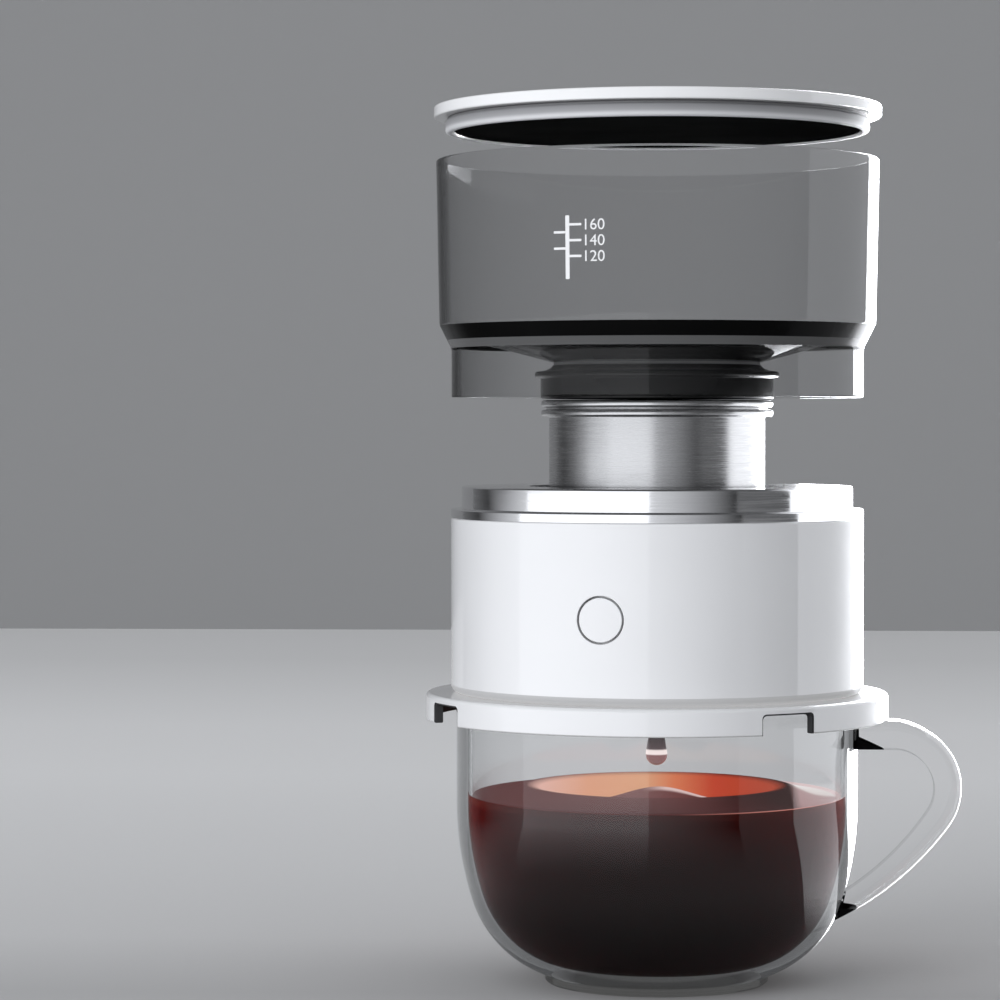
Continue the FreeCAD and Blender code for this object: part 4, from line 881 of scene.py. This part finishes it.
def cutShade(bm, key):
    (startX, startZ), (endX, endZ) = handle[key]
    near = [face for face in bm.faces
            if face.calc_center_median().x / mm < max(startX, endX) + handle["shadeSide"]
            and abs(face.calc_center_median().z / mm - (startZ + endZ) / 2) < handle["shadeHeight"]]
    parts = {item for face in near for item in (face, *face.edges, *face.verts)}
    bmesh.ops.bisect_plane(
        bm, geom=list(parts), dist=0.0001 * mm, plane_co=(startX * mm, 0, startZ * mm),
        plane_no=(endZ - startZ, 0, startX - endX))


def underShade(key, middle):
    (startX, startZ), (endX, endZ) = handle[key]
    return (endX - startX) * (middle.z - startZ) < (endZ - startZ) * (middle.x - startX)


def handlePaintedShade(middle, normal):
    # 1 for painted shade where the joint with the bowl looks dark
    if normal.x <= handle["capFacing"]:
        return 0
    if middle.z > handle["bendHeight"]:
        return middle.x < handle["topRoot"] or underShade("topShade", middle) and middle.x < handle["topEnd"]
    wall = Vector((middle.x - mug["sideCentre"], middle.z - mug["sideHeight"])).length
    return wall > handle["wallAt"] and (underShade("lowShade", middle) or underShade("wallShade", middle))


def mugHandle():
    bm = bmesh.new()
    bmesh.ops.create_grid(bm, x_segments=1, y_segments=1, size=0.5)
    bmesh.ops.scale(bm, vec=(handle["thick"] * mm, handle["width"] * mm, 1), verts=bm.verts)
    roundOff(bm, bm.verts[:], handle["rounding"] * mm, 6, "VERTICES")
    bmesh.ops.rotate(bm, cent=(0, 0, 0), matrix=Matrix.Rotation(math.pi / 2, 3, "Y"), verts=bm.verts)
    bmesh.ops.translate(bm, vec=(handle["root"] * mm, 0, handle["height"] * mm), verts=bm.verts)
    tip, inside, reached = bm.faces[:], [], handle["root"]
    for reach in (handle["topRoot"], handle["topEnd"], handle["bendAt"]):
        pulled = bmesh.ops.extrude_face_region(bm, geom=tip)["geom"]
        bmesh.ops.translate(bm, vec=((reach - reached) * mm, 0, 0), verts=only(pulled, bmesh.types.BMVert))
        inside += tip
        tip = only(pulled, bmesh.types.BMFace)
        reached = reach
    for key in ("bend", "sweep"):
        at, height, degrees, steps = (handle[key + end] for end in ("At", "Height", "Turn", "Steps"))
        swept = bmesh.ops.spin(
            bm, geom=tip, cent=(at * mm, 0, height * mm), axis=(0, 1, 0),
            angle=math.radians(degrees), steps=steps, use_merge=False)
        inside += tip
        tip = only(swept["geom_last"], bmesh.types.BMFace)
    bmesh.ops.delete(bm, geom=inside[1:], context="FACES_ONLY")
    clean(bm)
    shapeHandle(bm)
    bmesh.ops.recalc_face_normals(bm, faces=bm.faces)
    for key in ("topShade", "lowShade", "wallShade"):
        cutShade(bm, key)
    paint(bm, handlePaintedShade)
    return meshObject("mugHandle", bm)


def makeMug():
    body = mugBody()
    setShare(body, "gloss", mugGloss)
    setShare(body, "outer", outward)
    dress(body, "mug", "clear_glass", clearGlass, replaced=("glass_mug",), sharp=40)
    strap = mugHandle()
    setShare(strap, "gloss", handleGloss)
    setShare(strap, "outer", lambda middle, normal: not handleGloss(middle, normal))
    dress(strap, "mug", "clear_glass", handleGlass, rootShade, sharp=40)


# coffee in the mug, and the drop under the nozzle

coffee = {
    "floor": 3.961, "edge": 41.12, "edgeTop": 41.5, "slope": 40.77, "slopeTop": 41.3, "flat": 39.92,
    "level": 41.1, "skinFoot": 38.1, "rings": 46, "depthFoot": 15.0,
    "ringAt": 28.5, "ringHeight": 2.5, "ringWidth": 5.0,
    "moundAt": (0.5, -14.0), "moundHeight": 3.9, "moundWidth": (10.5, 6.0), "dip": 0.9, "dipWidth": 16.0,
    "hollow": (-26.0, 26.0), "glowEdge": (26.0, 29.0), "glowFront": (-14.5, -12.0),
    "crestFront": (-17.0, -15.8), "crestSide": (-3.0, 2.0), "crestEnd": (12.0, 19.0),
    "frontEdge": (-38.0, -20.0), "sheenSide": (29.2, 31.4), "rimLine": (39.7, 40.0), "rimSide": (4.0, 26.0),
}
drop = {"foot": 47.9, "centre": 50.3, "turn": 100, "top": 54.95, "topRadius": 1.7}


def coffeeTopMaterial():
    # all of the top's colour is emitted, painted light: a brown skin shaded across its width and darker at
    # the front as painted shade, an orange glow where the light comes up through the hollow, a painted
    # highlight along the mound's crest, a painted reflection on the right side and a painted highlight along
    # the rim
    material, tree, shader = newMaterial(
        "coffeeTop", Roughness=0.08, **matt, **{"Base Color": (0.03, 0.008, 0.006, 1)})

    def band(axis, key, low=0, high=1):
        return between(tree, axis, *coffee[key], low, high)

    hollow = combine(tree, "MULTIPLY", band("R", "glowEdge", 1, 0), band("Y", "glowFront"))
    crest = combine(tree, "MULTIPLY", band("Y", "glowFront", 1, 0), band("Y", "crestFront"),
                    band("X", "crestSide"), band("X", "crestEnd", 1, 0))
    rim = combine(tree, "MULTIPLY", band("R", "rimLine"), band("X", "rimSide"))
    side, inwards = band("X", "hollow"), band("Y", "hollow")
    skin = ramp(tree, side, (0.0, (0.075, 0.006, 0.005)), (0.4, (0.16, 0.06, 0.058)),
                (0.6, (0.12, 0.024, 0.022)), (0.8, (0.03, 0.004, 0.003)), (1.0, (0.02, 0.004, 0.003)))
    skin = blend(tree, band("Y", "frontEdge"), (0.055, 0.01, 0.01), skin)
    orange = ramp(tree, side, (0.0, (0.7, 0.4, 0.33)), (0.2, (0.66, 0.3, 0.17)), (0.45, (0.66, 0.32, 0.17)),
                  (0.58, (0.63, 0.16, 0.06)), (0.75, (0.5, 0.045, 0.012)), (1.0, (0.42, 0.06, 0.025)))
    sheen = ramp(tree, inwards, (0.0, (0.34, 0.19, 0.19)), (0.45, (0.38, 0.24, 0.24)),
                 (0.55, (0.64, 0.57, 0.55)), (1.0, (0.8, 0.77, 0.76)))
    glow = blend(tree, crest, blend(tree, hollow, skin, orange), (0.7, 0.5, 0.48))
    glow = blend(tree, band("X", "sheenSide"), glow, sheen)
    glow = blend(tree, rim, glow, (0.66, 0.5, 0.5))
    feed(tree, shader, {"Emission Color": glow, "Emission Strength": 1.0})
    return material


def coffeeDepthMaterial():
    # red near the top, where light comes through the thin layer, and dark lower down, painted by height with
    # a faint painted glow near the top; black in the depth
    material = seeThrough("coffeeDepth", (0.95, 0.63, 0.35), 900, rough=0.03, coat=0.0)
    tree = material.node_tree
    shader = tree.nodes["Principled BSDF"]
    up = between(tree, "Z", coffee["depthFoot"], coffee["level"])
    tint = ramp(tree, up, (0.0, (0.06, 0.03, 0.03)), (0.5, (0.3, 0.12, 0.1)), (1.0, (0.55, 0.2, 0.17)))
    glow = ramp(tree, up, (0.0, 0), (0.6, (0.003, 0.0006, 0.0005)), (1.0, (0.014, 0.0015, 0.001)))
    feed(tree, shader, {"Base Color": tint, "Emission Color": glow, "Emission Strength": 1.0})
    return material


def dropMaterial():
    # dark liquid with a painted reflection of the pale floor low in it, emitted as a glow
    material, tree, shader = newMaterial(
        "dropLiquid", Roughness=0.05, IOR=1.33, **{"Base Color": (0.02, 0.012, 0.012, 1)})
    up = between(tree, "Z", drop["foot"], drop["top"])
    glow = ramp(tree, up, (0.0, (0.08, 0.04, 0.04)), (0.12, (0.2, 0.1, 0.1)), (0.33, (0.22, 0.1, 0.1)),
                (0.37, (0.95, 0.82, 0.8)), (0.48, (0.9, 0.78, 0.76)), (0.53, (0.07, 0.045, 0.05)),
                (1.0, (0.012, 0.008, 0.01)))
    feed(tree, shader, {"Emission Color": glow, "Emission Strength": 1.0})
    return material


def rippleHeight(x, y):
    reach = math.hypot(x, y)
    ring = coffee["ringHeight"] * math.exp(-((reach - coffee["ringAt"]) / coffee["ringWidth"]) ** 2)
    side, depth = ((spot - at) / wide for spot, at, wide in
                   zip((x, y), coffee["moundAt"], coffee["moundWidth"]))
    mound = coffee["moundHeight"] * math.exp(-side ** 2 - depth ** 2)
    dip = coffee["dip"] * math.exp(-(reach / coffee["dipWidth"]) ** 2)
    return ring + mound - dip


def makeCoffee():
    bm, centre = trace(
        {**mug, **coffee}, (0, "floor"),
        ("bowlRadius", "floor"), ("bowlRadius", "bowlHeight", "bowlTurn", 20),
        ("sideCentre", "sideHeight", "sideTurn", 12), ("edge", "edgeTop"),
        ("slope", "slopeTop"), ("flat", "level"), (0, "level"))
    bmesh.ops.subdivide_edges(bm, edges=centre.link_edges[:], cuts=coffee["rings"])
    turnFull(bm)
    for vert in bm.verts:
        if abs(vert.co.z - coffee["level"] * mm) < 0.001 * mm:
            vert.co.z += rippleHeight(vert.co.x / mm, vert.co.y / mm) * mm
    # the top faces take the painted light
    paint(bm, lambda middle, normal: normal.z > 0.3 and middle.z > coffee["skinFoot"])
    dress(meshObject("coffee", bm), "mug", "black_gloss", coffeeDepthMaterial(), coffeeTopMaterial(),
          sharp=60)


def makeDrop():
    bm, _ = trace(drop, (0, "foot"), (0, "centre", "turn", 16), ("topRadius", "top"), (0, "top"))
    turnFull(bm, 48)
    dress(meshObject("coffeeDrop", bm), "base", "black_gloss", dropMaterial(), sharp=60)


makeMug()
makeCoffee()
makeDrop()
print("mug and coffee done")


# floor, backdrop, light and camera

studio = {
    # greys of the floor and the wall are given at their y; the floor's greys are painted light and shade,
    # the wall's stay even
    "floorGreys": ((-20, 0.52), (60, 0.67), (200, 0.76), (450, 0.9), (650, 0.915), (1050, 0.81)),
    "floorGlow": 0.08, "wallGreys": ((0, 0.42), (1000, 0.42)),
    "wallAt": 1310, "wide": 5000, "front": -2500, "wallTop": 1800,
    "seen": 0.135, "ambient": 0.55, "tint": (0.942, 0.961, 1.0), "cardAt": 320, "cardLift": 1,
}
keyBox = {
    # azimuth from the camera's side
    "azimuth": -40, "distance": 1100, "height": 250, "width": 700, "tall": 500, "watts": 8.0,
    "aim": (0, 0, 100),
}
cards = {
    # from, to azimuth, start and full share on the floor, foot, top, brightness at both ends
    "leftCard": (-50, -4, 100, 288, 0, 145, 1.7, 1.7),
    "leftLow": (-76, -50, 100, 288, 0, 106, 1.7, 1.7),
    "leftHigh": (-96, -50, 100, 288, 106, 145, 0.12, 1.35),
    "leftFade": (-110, -76, 100, 288, 0, 106, 0.05, 0.85),
    "leftShade": (-130, -110, 100, 288, 0, 145, 0.17, 0.05),
    "frontFade": (-4, 44, 100, 288, 0, 145, 0.85, 0.03),
    "rightCard": (78.5, 133, 45, 80, 0, 400, 1.85, 1.85),
    "rimCard": (133, 172, 45, 80, 0, 400, 13.0, 13.0),
}
photoView = {
    "lens": 126.0, "sensor": 36.0, "clip": 10, "eye": (0, -778, 124.2), "yaw": 2.565, "pitch": 1.277,
}


def tinted(strength):
    return tuple(strength * share for share in studio["tint"]) + (1,)


def seenRays(tree):
    # 1 for rays from the camera, off gloss or through a clear piece, else 0
    path = newNode(tree, "LightPath")
    rays = (path.outputs[f"Is {kind} Ray"] for kind in ("Camera", "Glossy", "Transmission"))
    return combine(tree, "MAXIMUM", *rays)


def stageMaterial(name, greys, lift):
    # matt, its grey changing along y, which on the floor is painted light and shade; lift adds a painted
    # glow for camera, gloss and see-through rays
    material, tree, shader = newMaterial(name, Roughness=0.8, **matt)
    start, stop = greys[0][0], greys[-1][0]
    shade = ramp(tree, between(tree, "Y", start, stop),
                 *(((at - start) / (stop - start), grey) for at, grey in greys))
    feed(tree, shader, {"Base Color": shade})
    if lift:
        glow = spread(tree, seenRays(tree), 0, lift, 0, 1)
        feed(tree, shader, {"Emission Color": shade, "Emission Strength": glow})
    return material


def flatStage(name, corners, greys, lift=0):
    bm = bmesh.new()
    bm.faces.new([bm.verts.new(Vector(corner) * mm) for corner in corners])
    sheet = meshObject(name, bm)
    sheet.data.materials.append(stageMaterial(name + "Grey", greys, lift))


def makeStage():
    half, front, wall, top = studio["wide"] / 2, studio["front"], studio["wallAt"], studio["wallTop"]
    flatStage("studioFloor", [(-half, front, 0), (half, front, 0), (half, wall, 0), (-half, wall, 0)],
              studio["floorGreys"], studio["floorGlow"])
    flatStage("studioWall", [(-half, wall, 0), (half, wall, 0), (half, wall, top), (-half, wall, top)],
              studio["wallGreys"])


def cardMaterial(name, start, stop, near, full, first, last):
    # brightness runs evenly between the ends of the card, and fades over the floor
    material, tree, shader = newMaterial(name)
    tree.nodes.remove(shader)
    turn = newNode(tree, "VectorRotate", Vector=objectSpot(tree),
                   Angle=math.pi / 2 - math.radians((start + stop) / 2))
    turn.rotation_type = "Z_AXIS"
    angle = newNode(tree, "TexGradient", Vector=turn.outputs["Vector"])
    angle.gradient_type = "RADIAL"
    half = (stop - start) / 720
    bright = spread(tree, angle.outputs["Fac"], first, last, 0.5 - half, 0.5 + half)
    glow = newNode(tree, "Emission", Color=tinted(1), Strength=bright)
    clear = newNode(tree, "BsdfTransparent")
    mixShaders(tree, "Material Output", between(tree, "R", near, full), clear, glow)
    return material


def makeCards():
    at, lift = studio["cardAt"], studio["cardLift"]
    for name, (start, stop, near, full, foot, top, first, last) in cards.items():
        lower = [(at, foot)] if foot else [(near, lift), (at, lift)]
        bm, _ = trace(studio, *lower, (at, top))
        bmesh.ops.rotate(bm, cent=(0, 0, 0), matrix=turned(start - 90).to_3x3(), verts=bm.verts)
        bmesh.ops.spin(
            bm, geom=bm.verts[:] + bm.edges[:], cent=(0, 0, 0), axis=(0, 0, 1),
            angle=math.radians(stop - start), steps=16)
        card = meshObject(name, bm)
        card.data.materials.append(cardMaterial(name, start, stop, near, full, first, last))
        for ray in ("camera", "diffuse", "transmission", "volume_scatter", "shadow"):
            setattr(card, "visible_" + ray, False)


def makeWorld():
    world = bpy.data.worlds.new("studio")
    scene.world = world
    world.use_nodes = True
    tree = world.node_tree
    seen = tree.nodes["Background"]
    feed(tree, seen, {"Color": tinted(studio["seen"])})
    mixShaders(tree, "World Output", seenRays(tree),
               newNode(tree, "Background", Color=tinted(studio["ambient"])), seen)


def makeLamp():
    light = bpy.data.lights.new("keyBox", "AREA")
    light.shape = "RECTANGLE"
    light.size = keyBox["width"] * mm
    light.size_y = keyBox["tall"] * mm
    light.energy = keyBox["watts"]
    light.color = studio["tint"]
    lamp = linked("keyBox", light)
    turn, distance = math.radians(keyBox["azimuth"]), keyBox["distance"]
    spot = Vector((distance * math.sin(turn), -distance * math.cos(turn), keyBox["height"]))
    lamp.location = spot * mm
    lamp.rotation_euler = (Vector(keyBox["aim"]) - spot).to_track_quat("-Z", "Y").to_euler()
    for ray in ("camera", "glossy", "transmission"):
        setattr(lamp, "visible_" + ray, False)


def makeCamera():
    camera = bpy.data.cameras.new("photoView")
    camera.lens = photoView["lens"]
    camera.sensor_width = photoView["sensor"]
    camera.clip_start = photoView["clip"] * mm
    eye = linked("photoView", camera)
    eye.location = Vector(photoView["eye"]) * mm
    eye.rotation_euler = (math.radians(90 - photoView["pitch"]), 0, math.radians(photoView["yaw"]))
    scene.camera = eye


makeStage()
makeWorld()
makeLamp()
makeCards()
makeCamera()
scene.view_settings.view_transform = "Standard"
print("studio done")
